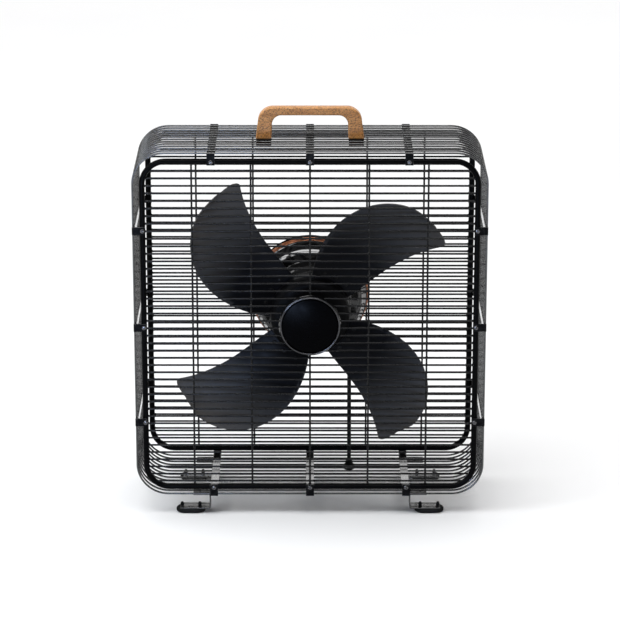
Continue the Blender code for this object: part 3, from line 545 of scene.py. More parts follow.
GROUND = brushed("ground_steel", (0.46, 0.47, 0.49), (0.72, 0.73, 0.75), 0.22, (0.3, 6, 0.3), 180)
BRONZE = brushed("sintered_bronze", (0.34, 0.2, 0.09), (0.6, 0.4, 0.2), 0.38, (1, 1, 1), 1200)
WOOD = wood()
BLADE = blade_paint()
COPPER = copper()
LAMINATE = laminated()
RUBBER = rubber("foot_rubber", 0.0035)
SHEATH = rubber("lead_sheath", 0.003, 2e-5)
LACING = coated("waxed_lacing", (0.1, 0.065, 0.036), (0.2, 0.14, 0.08), 0.6, peel=5e-5, specular=0.2)
MARK_PAINT = coated("pale_mark", grey(0.6, 0.58), grey(0.78, 0.75), 0.45)
VARNISH = coated("coil_varnish", (0.05, 0.017, 0.008), (0.12, 0.042, 0.018), 0.32, coat=0.4)


# ---- small hardware
def screw_mesh():
    """A pan head with a cross recess; it stands on Y = 0 and points along +Y."""
    dome = rounded(mm((0.1, -3, 0), (1.5, -3, 0.3), (1.5, 0, 0), (3.6, 0, 0.2), (3.6, 0.5, 1),
                      (2.6, 1.7, 3), (0.1, 2, 0)), 6)
    head = lathe(dome, 36).mesh("screw")
    reach, half = 0.0019, 0.00034
    cross = [(-reach, -half), (-half, -half), (-half, -reach), (half, -reach), (half, -half),
             (reach, -half), (reach, half), (half, half), (half, reach), (-half, reach), (-half, half),
             (-reach, half)]
    return cut(head, extrude(cross, along_y, 0.0008, 0.003).mesh("recess"))


def hex_bolt(radius, height, shank_r, shank):
    """A hexagon head on a washer, placed like the pan head."""
    washer_r, washer_t = radius * 1.28, 0.0006
    shape = lathe(rounded([(shank_r, -shank, 0), (washer_r, 0, 0.0002), (washer_r, washer_t, 0.0002),
                           (shank_r, washer_t, 0)]), 48)
    lathe([(0.0001, 0.0004), (radius, 0.0004), (radius, height * 0.82), (radius * 0.86, height),
           (radius * 0.62, height), (radius * 0.56, height * 0.9), (0.0001, height * 0.9)],
          6, shape=shape)
    return lathe([(shank_r, -shank), (shank_r, 0.0004)], 24, shape=shape)


# ---- cage
def side_point(angle, out, along, y):
    """A point on one of the sleeve's four sides."""
    return (out * cos(angle) - along * sin(angle), y,
            SLEEVE.z + out * sin(angle) + along * cos(angle))


def strip_places():
    """The angle of the side, and the place along it, of each of the twelve strips."""
    for quarter in range(4):
        reach = STRIP_Z if quarter % 2 == 0 else STRIP_X
        for side in (-1, 0, 1):
            yield quarter * pi / 2, side * reach


def side_reach(angle, half_w, half_h):
    return half_w if abs(cos(angle)) > 0.5 else half_h


def shaded_and_lit_coats(shape, name, axis):
    """One sheet in lit and shaded copies of its enamel, picked by which way each face points: faces across
    one axis (the bent ends) take the darker satin copy as painted shade, the rest the paler glossy copy as
    painted highlight.
    """
    mesh = shape.mesh(name)
    mesh.materials.append(LIT_STRIP_COAT)
    mesh.materials.append(SHEET)
    for face in mesh.polygons:
        if abs(face.normal[axis]) > 0.6:
            face.material_index = 1
    return mesh


def make_cage():
    hoops = Shape()
    hoop_ys = [k * HOOP_PITCH - SLEEVE_DEPTH / 2 for k in range(HOOP_COUNT)]
    outline = rounded_rectangle(HALF_W - WIRE_R, HALF_H - WIRE_R, HOOP_CORNER - WIRE_R, 14)
    for y in hoop_ys:
        loop_tube(hoops, outline, WIRE_R, 12, SLEEVE, y)
    piece("cage_hoops", hoops, HOOP_COAT, "black_wire", "body_cage")

    strips, welds = Shape(), Shape()
    fine, bend, edge = 0.0005, 0.003, 0.0007
    tab_in = TAB_OUT - TAB_T
    for angle, along in strip_places():
        hoop_out = side_reach(angle, HALF_W, HALF_H)
        outer = hoop_out - 2 * WIRE_R + STRIP_SINK
        inner = outer - STRIP_T
        end = side_reach(angle, RING_W / 2, RING_H / 2) - RING_R - TAB_PAST_RING
        inside = [(end, TAB_OUT, fine), (end, tab_in, fine), (inner, tab_in, bend)]
        outside = [(outer, tab_in, edge), (hoop_out, tab_in, fine), (hoop_out, TAB_OUT, edge)]
        corners = inside + [(u, -v, r) for u, v, r in inside[::-1] + outside[::-1]] + outside
        extrude(rounded(corners, 4), lambda u, v, w, a=angle, b=along: side_point(a, u, b + w, v),
                -STRIP_W / 2, STRIP_W / 2, strips)
        out = Vector((cos(angle), 0, sin(angle)))
        beside = Vector((-sin(angle), 0, cos(angle)))
        for y in hoop_ys:
            spot = Vector(side_point(angle, outer + 0.0001, along, y))
            size = DRAWS.uniform(0.9, 1.1)
            bead(welds, spot, (beside * 0.0048 * size, Vector((0, 0.0021 * size, 0)), out * 0.0007))
    # the strips' front-facing bent ends get the darker copy as painted shade, the rest the paler glossy copy
    # as painted highlight
    piece("cage_depth_strips", shaded_and_lit_coats(strips, "cage_depth_strips", 1), LIT_STRIP_COAT, "black_wire",
          "body_cage", bevel=0.0004)
    piece("cage_weld_spots", welds, HOOP_COAT, "black_wire", "body_cage")


def ring_half_width(z):
    above = abs(z) - (RING_H / 2 - RING_CORNER)
    if above <= 0:
        return RING_W / 2
    return RING_W / 2 - RING_CORNER + sqrt(max(0, RING_CORNER ** 2 - above ** 2))


def grille_weld(shape, x, y, z, half_x, half_z, half_y):
    bead(shape, Vector((x, y, z)),
         (Vector((half_x, 0, 0)), Vector((0, 0, half_z)), Vector((0, half_y, 0))), rows=4, sides=8)


def make_grille(word, end):
    node = f"{word}_grille"
    ring, wires, spots = Shape(), Shape(), Shape()
    loop_tube(ring, rounded_rectangle(RING_W / 2, RING_H / 2, RING_CORNER, 16), RING_R, 24, SLEEVE,
              end * RING_Y)
    piece(f"{node}_ring", ring, RING_COAT, "black_wire", node)
    row_y, column_y = end * ROW_Y, end * COLUMN_Y
    columns = [(k - (COLUMNS - 1) / 2) * COLUMN_PITCH for k in range(COLUMNS)]
    parts = [i / 8 - 1 for i in range(17)]
    for k in range(ROWS):
        z = SLEEVE.z + (k + 1) * ROW_PITCH - RING_H / 2 - ROW_DROP
        reach = ring_half_width(z - SLEEVE.z)
        bow = DRAWS.uniform(-ROW_BOW, ROW_BOW)
        path_tube(wires, [Vector((reach * part, row_y, z + bow * cos(pi / 2 * part)))
                          for part in parts], WIRE_R, 10)
        for x in columns:
            if abs(x) < reach:
                size = DRAWS.uniform(0.9, 1.15)
                grille_weld(spots, x, end * (ROW_Y + COLUMN_Y) / 2, z, 0.0021 * size, 0.0021 * size, 0.001)
        for side in (-1, 1):
            grille_weld(spots, side * (reach - RING_R), row_y, z, 0.0016, 0.0022, 0.0017)
    half_h = RING_H / 2
    for x in columns:
        path_tube(wires, [Vector((x, column_y, SLEEVE.z + half_h * part)) for part in parts], WIRE_R, 10)
        for side in (-1, 1):
            grille_weld(spots, x, column_y, SLEEVE.z + side * (half_h - RING_R), 0.0022, 0.0016, 0.0017)
    piece(f"{node}_wires", wires, ENAMEL, "black_wire", node)
    piece(f"{node}_welds", spots, ENAMEL, "black_wire", node)


def make_grille_screws():
    mesh = screw_mesh()
    mesh.materials.append(BLACK_SCREW)
    for word, end in (("front", -1), ("rear", 1)):
        for number, (angle, along) in enumerate(strip_places(), start=1):
            x, _, z = side_point(angle, side_reach(angle, RING_W / 2, RING_H / 2), along, 0)
            turn = Matrix.Rotation(pi if end < 0 else 0, 4, "Z") @ Matrix.Rotation(
                DRAWS.uniform(0, pi), 4, "Y")
            piece(f"{word}_ring_screw_{number:02d}", mesh, BLACK_SCREW, "screw_steel",
                  f"front_grille_screw_{number:02d}" if end < 0 else "",
                  at=(x, end * (TAB_OUT + 0.0002), z), turn=turn.to_euler())


# ---- badge
def make_badge():
    low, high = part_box("badge_rim")
    back, front, radius = high[1], low[1], high[0]
    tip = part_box("badge_face")[0][1]
    face_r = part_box("badge_face")[1][0]
    groove_r, lip_r = face_r + 0.0012, face_r + 0.0022
    rim = [(groove_r, back, 0), (radius, back, 0.0003), (radius, back - 0.004, 0.001),
           (radius - 0.0016, front, 0.001), (lip_r, front, 0.0005), (groove_r, front + 0.0016, 0.0004)]
    piece("badge_polished_rim", lathe(rounded(rim), 160), RIM, "badge_rim", "badge_rim", at=AXIS)
    trim_r, bead_r = face_r + 0.0017, 0.00055
    trim = [(trim_r + bead_r * u, front + 0.0003 + bead_r * v) for u, v in circle(1, 10)]
    piece("badge_trim_bead", lathe(trim, 160), BEAD, "badge_rim", "badge_rim", at=AXIS)
    edge, side_y, edge_y = 0.0014, back - 0.0044, back - 0.006
    dome = [(0.0002, back), (face_r, back), (face_r, side_y)]
    dome += [(face_r - edge * t, side_y - 0.0016 * sqrt(t * (2 - t)))
             for t in (0.15, 0.3, 0.5, 0.75, 1)]
    for k in range(1, 25):
        t = k / 24
        dome.append(((face_r - edge) * (1 - t) + 0.0002 * t, edge_y + (tip - edge_y) * (1 - (1 - t) ** 2)))
    piece("badge_dome", lathe(dome, 160), DOME, "badge_gloss", "badge_face", at=AXIS, sharp=50)
    low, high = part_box("badge_backing_plate")
    plate = [(0.004, low[1], 0.0003), (high[0], low[1], 0.0006), (high[0], high[1], 0.0006),
             (0.004, high[1], 0.0003)]
    piece("badge_backing_disc", lathe(rounded(plate), 120), SHEET, "black_sheet", "badge_backing_plate",
          at=AXIS)


# ---- handle
def arc(centre_u, centre_v, radius, start, end, steps):
    points = []
    for k in range(steps + 1):
        angle = radians(start + (end - start) * k / steps)
        points.append((centre_u + radius * cos(angle), centre_v + radius * sin(angle)))
    return points


def make_handle():
    low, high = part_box("handle_grip")
    base, foot = low[2], high[0]
    height = high[2] - base
    shoulder, outer_r, inner_r = 0.0765, 0.022, 0.014
    open_foot, open_top, open_h = 0.0565, 0.056, height - 0.012
    outline = [(foot, 0)]
    outline += arc(shoulder - outer_r, height - outer_r, outer_r, 0, 90, 16)
    outline += arc(outer_r - shoulder, height - outer_r, outer_r, 90, 180, 16)
    outline += [(-foot, 0), (-open_foot, 0)]
    outline += arc(inner_r - open_top, open_h - inner_r, inner_r, 180, 90, 12)
    outline += arc(open_top - inner_r, open_h - inner_r, inner_r, 90, 0, 12)
    outline += [(open_foot, 0)]
    half = (high[1] - low[1]) / 2
    piece("handle_wooden_grip", extrude(outline, along_y, -half, half), WOOD, "handle_wood", "handle_grip",
          at=(0, (low[1] + high[1]) / 2, base), bevel=0.0024, segments=5, sharp=45)
    for word in ("left", "right"):
        for part, material, slot, corner in (("handle_pad", RUBBER, "black_rubber", 0.002),
                                             ("handle_plate", SHEET, "black_sheet", 0.003)):
            node = f"{part}_{word}"
            size = half_size(node)
            slab = extrude(plate_outline(size.x, size.y, corner), lambda *spot: spot, -size.z, size.z)
            piece(f"{node}_shaped", slab, material, slot, node, at=middle(node), bevel=0.0003)
        node = f"handle_bolt_{word}"
        low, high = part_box(node)
        centre = middle(node)
        seat = low[2] + 0.003
        piece(f"handle_screw_{word}", hex_bolt(0.0046, 0.0032, 0.0025, high[2] - seat), ZINC, "screw_steel",
              node, at=(centre.x, centre.y, seat), turn=(-pi / 2, 0, 0), sharp=30)


# ---- feet
def make_bracket(foot, side):
    """A folded channel: two flanges and an upright web."""
    node = f"foot_bracket_{foot}"
    low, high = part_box(node)
    inner, outer = (high[0], low[0]) if side < 0 else (low[0], high[0])
    sheet, tight, fold_in, fold_out = 0.0015, 0.0005, 0.0014, 0.0028
    bottom, top, upper, web = low[2], high[2], inner + side * 0.026, inner + side * sheet
    corners = [(inner, bottom, fold_out), (outer, bottom, tight), (outer, bottom + sheet, tight),
               (web, bottom + sheet, fold_in), (web, top - sheet, fold_in), (upper, top - sheet, tight),
               (upper, top, tight), (inner, top, fold_out)]
    half = (high[1] - low[1]) / 2
    # the channel's upright faces get the darker copy as painted shade, its flanges and ends the paler glossy
    # copy as painted highlight
    channel = shaded_and_lit_coats(extrude(rounded(corners), along_y, -half, half), "channel", 0)
    piece(f"foot_{foot}_channel", channel, LIT_STRIP_COAT, "black_sheet", node,
          at=(0, (low[1] + high[1]) / 2, 0), bevel=0.0004)


def make_pad(foot):
    """A rubber pad with two push-in studs."""
    node = f"foot_pad_{foot}"
    centre, size = middle(node), half_size(node)
    straight, top, stud_out = size.x - size.y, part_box(node)[1][2], 0.0133
    rings = []
    for inset, z in mm((2.6, 0), (1, 0.4), (0.2, 1.4), (0, 2.4), (0, 4.4), (0.3, 5.7), (1, 6.4), (2.4, 6.8)):
        reach = size.y - inset
        flat = arc(straight, 0, reach, -90, 90, 20) + arc(-straight, 0, reach, 90, 270, 20)
        rings.append([(u, v, z) for u, v in flat])
    pad = Shape().rings(rings, caps=True)
    stud = rounded(mm((1.9, 5.8, 0), (1.9, 8.9, 0.3), (2.7, 8.9, 0.4), (2.7, 11.2, 1.2), (1.9, 13.8, 1))
                   + [(0.0008, top, 0.0004), (0.0002, top, 0)])
    for shift in (-stud_out, stud_out):
        pad.rings([[(shift + radius * u, radius * v, z) for u, v in circle(1, 28)] for radius, z in stud],
                  caps=True)
    piece(f"foot_{foot}_rubber", pad, RUBBER, "black_rubber", node, at=(centre.x, centre.y, 0), sharp=50)


def make_feet():
    for end in ("front", "rear"):
        for word, side in (("left", -1), ("right", 1)):
            make_bracket(f"{end}_{word}", side)
            make_pad(f"{end}_{word}")


# ---- rotor
def blade_point(radius, across):
    """A point of a blade's middle surface, with its tip's corner on +X."""
    reach = radius / BLADE_TIP_R
    spread = 0.37 if reach > BELLY_AT else 0.27
    leading = BELLY * (1 - ((reach - BELLY_AT) / spread) ** 2)
    trailing = 15 + 50 * max(0, 1 - reach ** 1.5) ** 0.57
    past = min(1, max(0, (reach - (1 - TIP_ROUND)) / TIP_ROUND))
    leading += 3 * (1 - sqrt(1 - past ** 2))
    first = HUB_R + 0.0003
    out = max(0, (radius - first) / (BLADE_TIP_R - first))
    sweep = BLADE_DEPTH * (0.75 + 0.25 * out) * (1 - 0.35 * out ** 8)
    angle = radians(leading + (trailing - leading) * across)
    y = BLADE_FRONT_Y - sweep * across + BLADE_CAMBER * sin(pi * across)
    return Vector((radius * cos(angle), y, radius * sin(angle)))


def blade_normal(radius, across):
    here = blade_point(radius, across)
    normal = (blade_point(radius + 0.001, across) - here).cross(blade_point(radius, across + 0.01) - here)
    normal.normalize()
    return normal if normal.y < 0 else -normal


def blade_sheet(first, last, low, high, rows, columns, lift):
    """Part of the blade's surface, lifted off the middle surface towards the front."""
    shape = Shape()
    for i in range(rows):
        radius = first + (last - first) * sin(pi / 2 * i / (rows - 1))
        for j in range(columns):
            across = low + (high - low) * j / (columns - 1)
            point = blade_point(radius, across)
            shape.verts.append(tuple(point + blade_normal(radius, across) * lift if lift else point))
    for i in range(rows - 1):
        for j in range(columns - 1):
            k = i * columns + j
            shape.faces.append((k, k + 1, k + columns + 1, k + columns))
    return shape


def make_blades():
    sheet = blade_sheet(BLADE_ROOT_R, BLADE_TIP_R, 0, 1, 56, 30, 0).mesh("blade")
    root = blade_sheet(0.0585, 0.079, 0.1, 0.9, 12, 16, -0.0017).mesh("blade_root")
    sheet.materials.append(BLADE)
    root.materials.append(SHEET)
    rivets = Shape()
    dome = rounded(mm((0.1, -2.2, 0), (1.6, -2.2, 0), (1.6, 0.6, 0), (3.1, 0.6, 0.3), (2.7, 1.7, 0.9),
                      (0.1, 2.1, 0)), 4)
    for k in range(4):
        turn = -radians(BLADE_FIRST_TIP + 90 * k)
        for part, mesh, material, thickness in (("sheet", sheet, BLADE, BLADE_T),
                                                ("root_plate", root, SHEET, 0.0014)):
            obj = piece(f"blade_{k + 1}_{part}", mesh.copy(), material, "blade_coat", f"fan_blade_{k + 1}",
                        "rotor", at=AXIS, turn=(0, turn, 0), sharp=180)
            solid = obj.modifiers.new("thickness", "SOLIDIFY")
            solid.thickness = thickness
            solid.offset = 0
            round_edges(obj, 0.0004, 2, 50, harden=False)
        spin = Matrix.Rotation(turn, 3, "Y")
        for across in (0.24, 0.5, 0.76):
            spot = blade_point(RIVET_CIRCLE_R, across)
            upright = blade_normal(RIVET_CIRCLE_R, across).to_track_quat("Y", "Z").to_matrix()
            rings = [[tuple(spin @ (spot + upright @ Vector((radius * u, along, radius * v))))
                      for u, v in circle(1, 20)] for radius, along in dome]
            rivets.rings(rings, caps=True)
    piece("blade_rivets", rivets, RIVET, "screw_steel", body="rotor", at=AXIS)


def make_rotor():
    make_blades()
    hub = rounded(mm((4.3, -57, 0), (30, -57, 4), (52, -54.5, 8), (58, -50, 6), (60.5, -42, 4),
                     (60.5, -22, 0.8), (57.2, -22, 0.8), (56, -40, 4), (50, -46, 4), (18, -48, 3),
                     (14.2, -44, 3), (13, -6, 0.6), (4.3, -6, 0)))
    piece("hub_shell", lathe(hub, 144), PLASTIC, "black_plastic", "fan_hub", "rotor", at=AXIS, sharp=60)
    ribs = Shape()
    for k in range(8):
        web = swung(mm((-1, 13.8), (1, 13.8), (1, 56), (-1, 56)), 2 * pi * (k + 0.5) / 8)
        extrude(web, along_y, -0.047, -0.03, ribs)
    piece("hub_ribs", ribs, PLASTIC, "black_plastic", "fan_hub", "rotor", at=AXIS, bevel=0.0004)
    nut = rounded(mm((0.2, -66.5, 0), (6, -66.2, 3), (11, -64, 2), (12, -60, 2), (12, -57.3, 0.4),
                     (0.2, -57.3, 0)))
    piece("hub_nut", lathe(nut, 120, flute=0.07, flutes=8), PLASTIC, "black_plastic",
          "spinner_nut", "rotor", at=AXIS, sharp=60)
    low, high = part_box("motor_shaft")
    shaft = [(0.0002, low[1], 0), (0.004, low[1], 0.0005), (0.004, high[1], 0.0005), (0.0002, high[1], 0)]
    piece("shaft_rod", lathe(rounded(shaft), 48), GROUND, "shaft_steel", "motor_shaft", "rotor",
          at=AXIS)
    low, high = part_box("armature_core")
    radius, band_from, band_to = high[0], 0.046, 0.0625
    waist = radius - 0.003
    core = [(0.0043, low[1], 0), (waist, low[1], 0.0008), (waist, band_from, 0), (radius, band_from, 0.0002),
            (radius, band_to, 0.0002), (waist, band_to, 0), (waist, high[1], 0.0008), (0.0043, high[1], 0)]
    piece("armature_stack", lathe(rounded(core), 96), LAMINATE, "core_steel", "armature_core", "rotor",
          at=AXIS)


# ---- motor
def make_drum():
    outer = mm((12, 1, 0.6), (35.5, 1, 6), (50, 3.5, 8), (55.2, 8.2, 5), (57.2, 14.2, 6), (61, 34.5, 5),
               (73, 40.5, 1.5), (78.5, 45, 2), (80.3, 50, 3.5), (85, 60.8, 0.6), (86.2, 61.8, 0.5),
               (86.2, 64, 0.5))
    inner = mm((84.5, 64, 0.4), (77.2, 51, 2), (75, 46, 2), (65.5, 39, 2), (59.2, 37, 2), (55.4, 15, 2),
               (52, 10, 2), (47, 6, 2), (34, 3.5, 2), (15.5, 3.5, 2), (15.5, 25, 0), (12, 25, 0.4))
    piece("motor_drum", lathe(rounded(outer + inner, 6), 192), GLOSS, "motor_gloss", "motor_front_bell",
          at=AXIS, sharp=60)


def make_winding():
    """The end turns as separate wires round a varnished body, tied with laces."""
    section = rounded(mm((50, 64, 2), (84.5, 65.2, 2), (88.4, 68.2, 2), (89.2, 72.8, 2), (85.8, 76.6, 2),
                         (78.6, 76.6, 2), (72, 71.2, 2), (54, 70, 2), (50, 68, 2)), 4)
    centre = Vector((0.07, 0.069))
    lengths = [(Vector(section[k]) - Vector(section[k - 1])).length for k in range(len(section))]
    wire_r, lace_r = 0.00082, 0.0007
    strands = int(sum(lengths) / (2.05 * wire_r))
    wires = Shape()
    for k in range(strands):
        target = sum(lengths) * k / strands
        walked = 0
        for i, step in enumerate(lengths):
            if walked + step >= target:
                part = (target - walked) / max(step, 1e-9)
                point = Vector(section[i - 1]).lerp(Vector(section[i]), part)
                break
            walked += step
        phase, waves = DRAWS.uniform(0, 6.28), DRAWS.randint(5, 9)
        sway = DRAWS.uniform(0.0001, 0.0003)
        path = []
        for i in range(150):
            turn = 2 * pi * i / 150
            reach = point.x - wire_r * 0.6 + sway * (sin(waves * turn + phase) - 1)
            path.append(Vector((reach * cos(turn), point.y, reach * sin(turn))))
        path_tube(wires, path, wire_r, 6, closed=True)
    piece("winding_wires", wires, COPPER, "winding_copper", "stator_windings", at=AXIS, sharp=80)
    body = lathe([tuple(Vector(point).lerp(centre, 0.1)) for point in section], 96)
    front_turns = mm((44, 40.5, 1), (47, 37.5, 1), (52, 38, 1), (54.5, 42, 1), (55, 46.4, 1), (44, 46.4, 1))
    lathe(rounded(front_turns), 96, shape=body)
    piece("winding_body", body, VARNISH, "winding_copper", "stator_windings", at=AXIS, sharp=60)
    laces = Shape()
    for k in range(16):
        turn = 2 * pi * (k + 0.3) / 16
        path = []
        for point in section:
            grown = Vector(point) + (Vector(point) - centre).normalized() * 0.0003
            path.append(Vector((grown.x * cos(turn), grown.y, grown.x * sin(turn))))
        path_tube(laces, path, lace_r, 6, closed=True)
    piece("winding_laces", laces, LACING, "winding_copper", "stator_windings", at=AXIS, sharp=80)


def drilled(corners, sides, holes, low, high):
    """A turned disc with round holes through it, given as (x, z, radius, sides)."""
    drills = Shape()
    for x, z, radius, count in holes:
        extrude([(x + u, z + v) for u, v in circle(radius, count)], along_y, low, high, drills)
    return cut(lathe(rounded(corners, 4), sides).mesh("disc"), drills.mesh("drills"))


def make_motor_back():
    """The rear shell, the plate outside the wires and its four bolts."""
    bolts = [middle(f"motor_bolt_{k}") - AXIS for k in (1, 2, 3, 4)]
    knob = middle("speed_knob") - AXIS
    spindle = (knob.x, knob.z, 0.0038, 24)
    vent_r, vent_circle_r, bolt_clear = 0.007, 0.068, 0.013
    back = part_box("motor_rear_bell")[1][1]
    rear = [(0.0002, back, 0), (0.084, back, 0.0008), (0.086, back - 0.001, 0.0006)]
    rear += mm((86.2, 77.6, 0.4), (84.5, 77.4, 0.3), (15.5, 77.8, 0), (15.5, 68, 0.4), (12, 68, 0.4),
               (12, 78.5, 0), (0.2, 78.5, 0))
    holes = []
    for k in range(8):
        turn = 2 * pi * (k + 0.5) / 8
        x, z = vent_circle_r * cos(turn), vent_circle_r * sin(turn)
        if min(dist((x, z), (bolt.x, bolt.z)) for bolt in bolts) > bolt_clear:
            holes.append((x, z, vent_r, 32))
    piece("motor_rear_shell", drilled(rear, 144, holes + [spindle], 0.07, 0.09), GLOSS, "motor_gloss",
          "motor_rear_bell", at=AXIS, sharp=40)
    for node, start, end in (("front_bearing", 0.0035, 0.019), ("rear_bearing", 0.069, 0.078)):
        bush = rounded([(u, v, 0.0004) for u, v in ((0.0042, start), (0.0117, start), (0.0117, end),
                                                    (0.0042, end))])
        piece(f"{node}_bush", lathe(bush, 64), BRONZE, "bearing_bronze", node, at=AXIS)

    low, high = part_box("motor_mount_plate")
    near, far, radius = low[1], high[1], high[0]
    outer_rib, inner_rib = far + 0.0009, far + 0.0006
    plate = [(0.0002, near, 0), (radius, near, 0.0005), (radius, far, 0.0005), (0.08, far, 0.001),
             (0.0785, outer_rib, 0.0008), (0.0755, outer_rib, 0.0008), (0.074, far, 0.001),
             (0.03, far, 0.001), (0.0288, inner_rib, 0.0008), (0.0262, inner_rib, 0.0008),
             (0.025, far, 0.001), (0.0002, far, 0)]
    piece("motor_rear_plate", drilled(plate, 160, [spindle], near - 0.002, far + 0.003), SHEET,
          "black_sheet", "motor_mount_plate", at=AXIS, sharp=40)
    for k, bolt in enumerate(bolts, start=1):
        piece(f"motor_hex_screw_{k}", hex_bolt(0.004, 0.0027, 0.002, 0.0085), ZINC, "screw_steel",
              f"motor_bolt_{k}", at=(bolt.x + AXIS.x, far + 0.0003, bolt.z + AXIS.z), sharp=30)


def make_motor():
    make_drum()
    make_winding()
    make_motor_back()
    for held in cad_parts["stator_core"].material_slots:
        held.link = "OBJECT"
        held.material = LAMINATE


# ---- controls and lead
def make_controls():
    size = half_size("run_capacitor")
    piece("capacitor_case", extrude(plate_outline(size.x, size.z, 0.003), along_y, -size.y, size.y), PLASTIC,
          "black_plastic", "run_capacitor", at=middle("run_capacitor"), bevel=0.0008)
    depth = half_size("speed_switch").y
    body = [(0.0002, -depth, 0), (0.009, -depth, 0.001), (0.0105, -depth + 0.002, 0.001),
            (0.0105, depth, 0.0006), (0.0002, depth, 0)]
    piece("switch_case", lathe(rounded(body), 72), PLASTIC, "black_plastic", "speed_switch",
          at=middle("speed_switch"))
    low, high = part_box("speed_knob")
    centre = middle("speed_knob")
    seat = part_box("motor_mount_plate")[1][1] + 0.0003
    axis = (centre.x, 0, centre.z)
    knob = {"stands_for": "speed_knob", "body": "knob", "at": axis}
    knob_r, spindle_r, shoulder = 0.014, 0.003, seat + 0.0038
    skirt = [(0.0002, low[1], 0), (spindle_r, low[1], 0.0005), (spindle_r, seat, 0), (knob_r, seat, 0.0003),
             (knob_r, seat + 0.0016, 0.0006), (0.0128, seat + 0.0032, 0.0006), (0.0108, shoulder, 0.0006),
             (0.0002, shoulder, 0)]
    piece("knob_skirt", lathe(rounded(skirt), 120, flute=0.035, flutes=30), PLASTIC,
          "black_plastic", **knob, sharp=60)
    piece("knob_grip_bar", extrude(plate_outline(0.0026, 0.0112, 0.0024), along_y, seat + 0.003, high[1]),
          PLASTIC, "black_plastic", **knob, bevel=0.0007)
    line = rounded(mm((-0.5, 3, 0.4), (0.5, 3, 0.4), (0.5, 10.4, 0.4), (-0.5, 10.4, 0.4)))
    piece("knob_pointer_line", extrude(line, along_y, high[1] - 0.0004, high[1] - 5e-5), MARK_PAINT,
          "black_plastic", **knob)
    marks = Shape()
    for k in range(4):
        end = 17.6 + 0.6 * k
        tick = swung(mm((15.8, -0.5), (15.8, 0.5), (end, 0.5), (end, -0.5)), radians(90 - 45 * k))
        extrude(tick, along_y, seat - 0.0004, seat + 0.0001, marks)
    piece("dial_marks", marks, MARK_PAINT, "black_sheet", at=axis, bevel=8e-5, segments=2)


def gland(name, node, collar, ribs, tip, at):
    """A rubber gland on Z: a collar, ever smaller ribs and a tip that grips the lead."""
    count, start, pitch, reach, shrink, land = ribs
    way = copysign(1, pitch)
    profile = list(collar)
    for k in range(count):
        out, here = reach - shrink * k, start + pitch * k
        profile += [(out, here), (out, here + way * land), (out - 0.0009, here + way * (land + 0.0002)),
                    (out - 0.0009, here + way * (land + 0.0007))]
    profile.append(tip)
    corners = [(u, v, 0.0003) for u, v in profile]
    corners[0] = (*profile[0], 0)
    corners[-1] = (*profile[-1], 0)
    piece(name, lathe(rounded(corners, 3), 40, upright=True), RUBBER, "black_rubber", node,
          at=at, sharp=60)


def make_lead():
    low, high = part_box("motor_lead")
    x = (low[0] + high[0]) / 2
    shape = Shape()
    path = []
    for k in range(49):
        part = k / 48
        ease = part * part * (3 - 2 * part)
        path.append(Vector((x, LEAD_TOP_Y + (LEAD_FLOOR_Y - LEAD_TOP_Y) * ease,
                            high[2] + (low[2] - high[2]) * part)))
    path_tube(shape, path, LEAD_R, 24)
    piece("lead_cable", shape, SHEATH, "lead_sheath", "motor_lead")
    collar = mm((0.2, -50), (6, -50), (6, -69), (7.4, -69), (7.4, -72.8), (5.8, -73.6))
    gland("lead_gland_upper", "motor_lead_gland", collar, (5, -0.074, -0.002, 0.0054, 0.00025, 0.0011),
          (0.0032, -0.084), (x, LEAD_TOP_Y, AXIS.z))
    low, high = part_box("cage_lead_gland")
    collar = [(u, low[2] + v) for u, v in mm((0.2, 0), (7.8, 0), (8.5, 0.6), (8.5, 1.9), (5, 2.1), (5, 5),
                                             (8.5, 5.2), (8.5, 6.8), (6.2, 7.8))]
    gland("lead_gland_lower", "cage_lead_gland", collar, (3, low[2] + 0.008, 0.0021, 0.006, 0.0004, 0.0012),
          (0.0031, high[2]), (x, LEAD_FLOOR_Y, 0))


# ---- studio
def aim(obj, point):
    obj.rotation_euler = (Vector(point) - obj.location).to_track_quat("-Z", "Y").to_euler()


def softbox(name, spot, size, power, target, tint=(1, 1, 1), diffuse=True):
    """A rectangular lamp; without diffuse it shows only in gloss."""
    lamp = bpy.data.lights.new(name, "AREA")
    lamp.shape = "RECTANGLE"
    lamp.size, lamp.size_y = size
    lamp.energy = power
    lamp.color = tint
    obj = add_object(name, lamp)
    obj.location = spot
    obj.visible_diffuse = diffuse
    aim(obj, target)


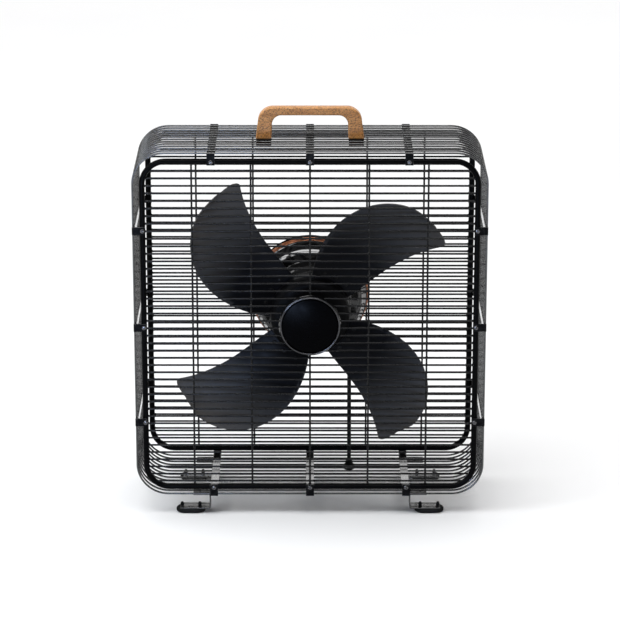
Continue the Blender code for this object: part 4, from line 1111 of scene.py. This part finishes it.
def make_floor():
    """A wide pale floor under the pads that throws no light back up."""
    mesh = bpy.data.meshes.new("floor")
    reach = 30
    mesh.from_pydata([(-reach, -reach, 0), (reach, -reach, 0), (reach, reach, 0), (-reach, reach, 0)], [],
                     [(0, 1, 2, 3)])
    mesh.materials.append(floor_paper())
    floor = add_object("studio_floor", mesh)
    floor.location.z = -0.0003
    floor.visible_diffuse = False


def make_studio():
    scene = bpy.context.scene
    world = bpy.data.worlds.new("studio")
    scene.world = world
    world.use_nodes = True
    back = world.node_tree.nodes["Background"]
    back.inputs["Color"].default_value = (1, 1, 1, 1)
    back.inputs["Strength"].default_value = 0.2
    make_floor()
    lamp = bpy.data.lights.new("ceiling_glow", "SUN")
    lamp.energy = 2.74
    lamp.angle = radians(60)
    glow = add_object("ceiling_glow", lamp)
    glow.location = (-0.2, -0.05, 2.6)
    glow.visible_glossy = False
    fan = (0, 0, 0.3)
    aim(glow, fan)
    softbox("back_card", (0, 3.4, 1.45), (6, 2), 55, (0, 0, 0.4), diffuse=False)
    softbox("overhead_box", (-0.45, -0.82, 1.9), (2.2, 0.32), 34, (-0.45, 0, 0.3), diffuse=False)
    softbox("left_box", (-1.45, -0.65, 1.25), (0.6, 0.7), 12, fan, (0.88, 0.94, 1))
    softbox("front_left_box", (-0.42, -2.3, 0.12), (0.6, 0.2), 14, fan, (0.48, 0.64, 1))
    softbox("right_box", (1.9, -0.7, 0.5), (0.25, 0.9), 5, fan, (1, 0.95, 0.9))
    scene.view_settings.view_transform = "Standard"
    scene.view_settings.look = "None"


def make_camera():
    """A long lens in front of the fan and above it, aimed a little over its middle."""
    lens = bpy.data.cameras.new("camera")
    lens.lens = 169.5
    lens.sensor_width = 36
    lens.clip_end = 100
    camera = add_object("camera", lens)
    tilt, distance = radians(17.5), 4.3
    target = Vector((0, -SLEEVE_DEPTH / 2, SLEEVE.z + 0.0255))
    camera.location = target - Vector((0, cos(tilt), -sin(tilt))) * distance
    aim(camera, target)
    bpy.context.scene.camera = camera


make_studio()
make_camera()
make_cage()
make_grille("front", -1)
make_grille("rear", 1)
make_grille_screws()
make_badge()
make_handle()
make_feet()
make_rotor()
make_motor()
make_controls()
make_lead()
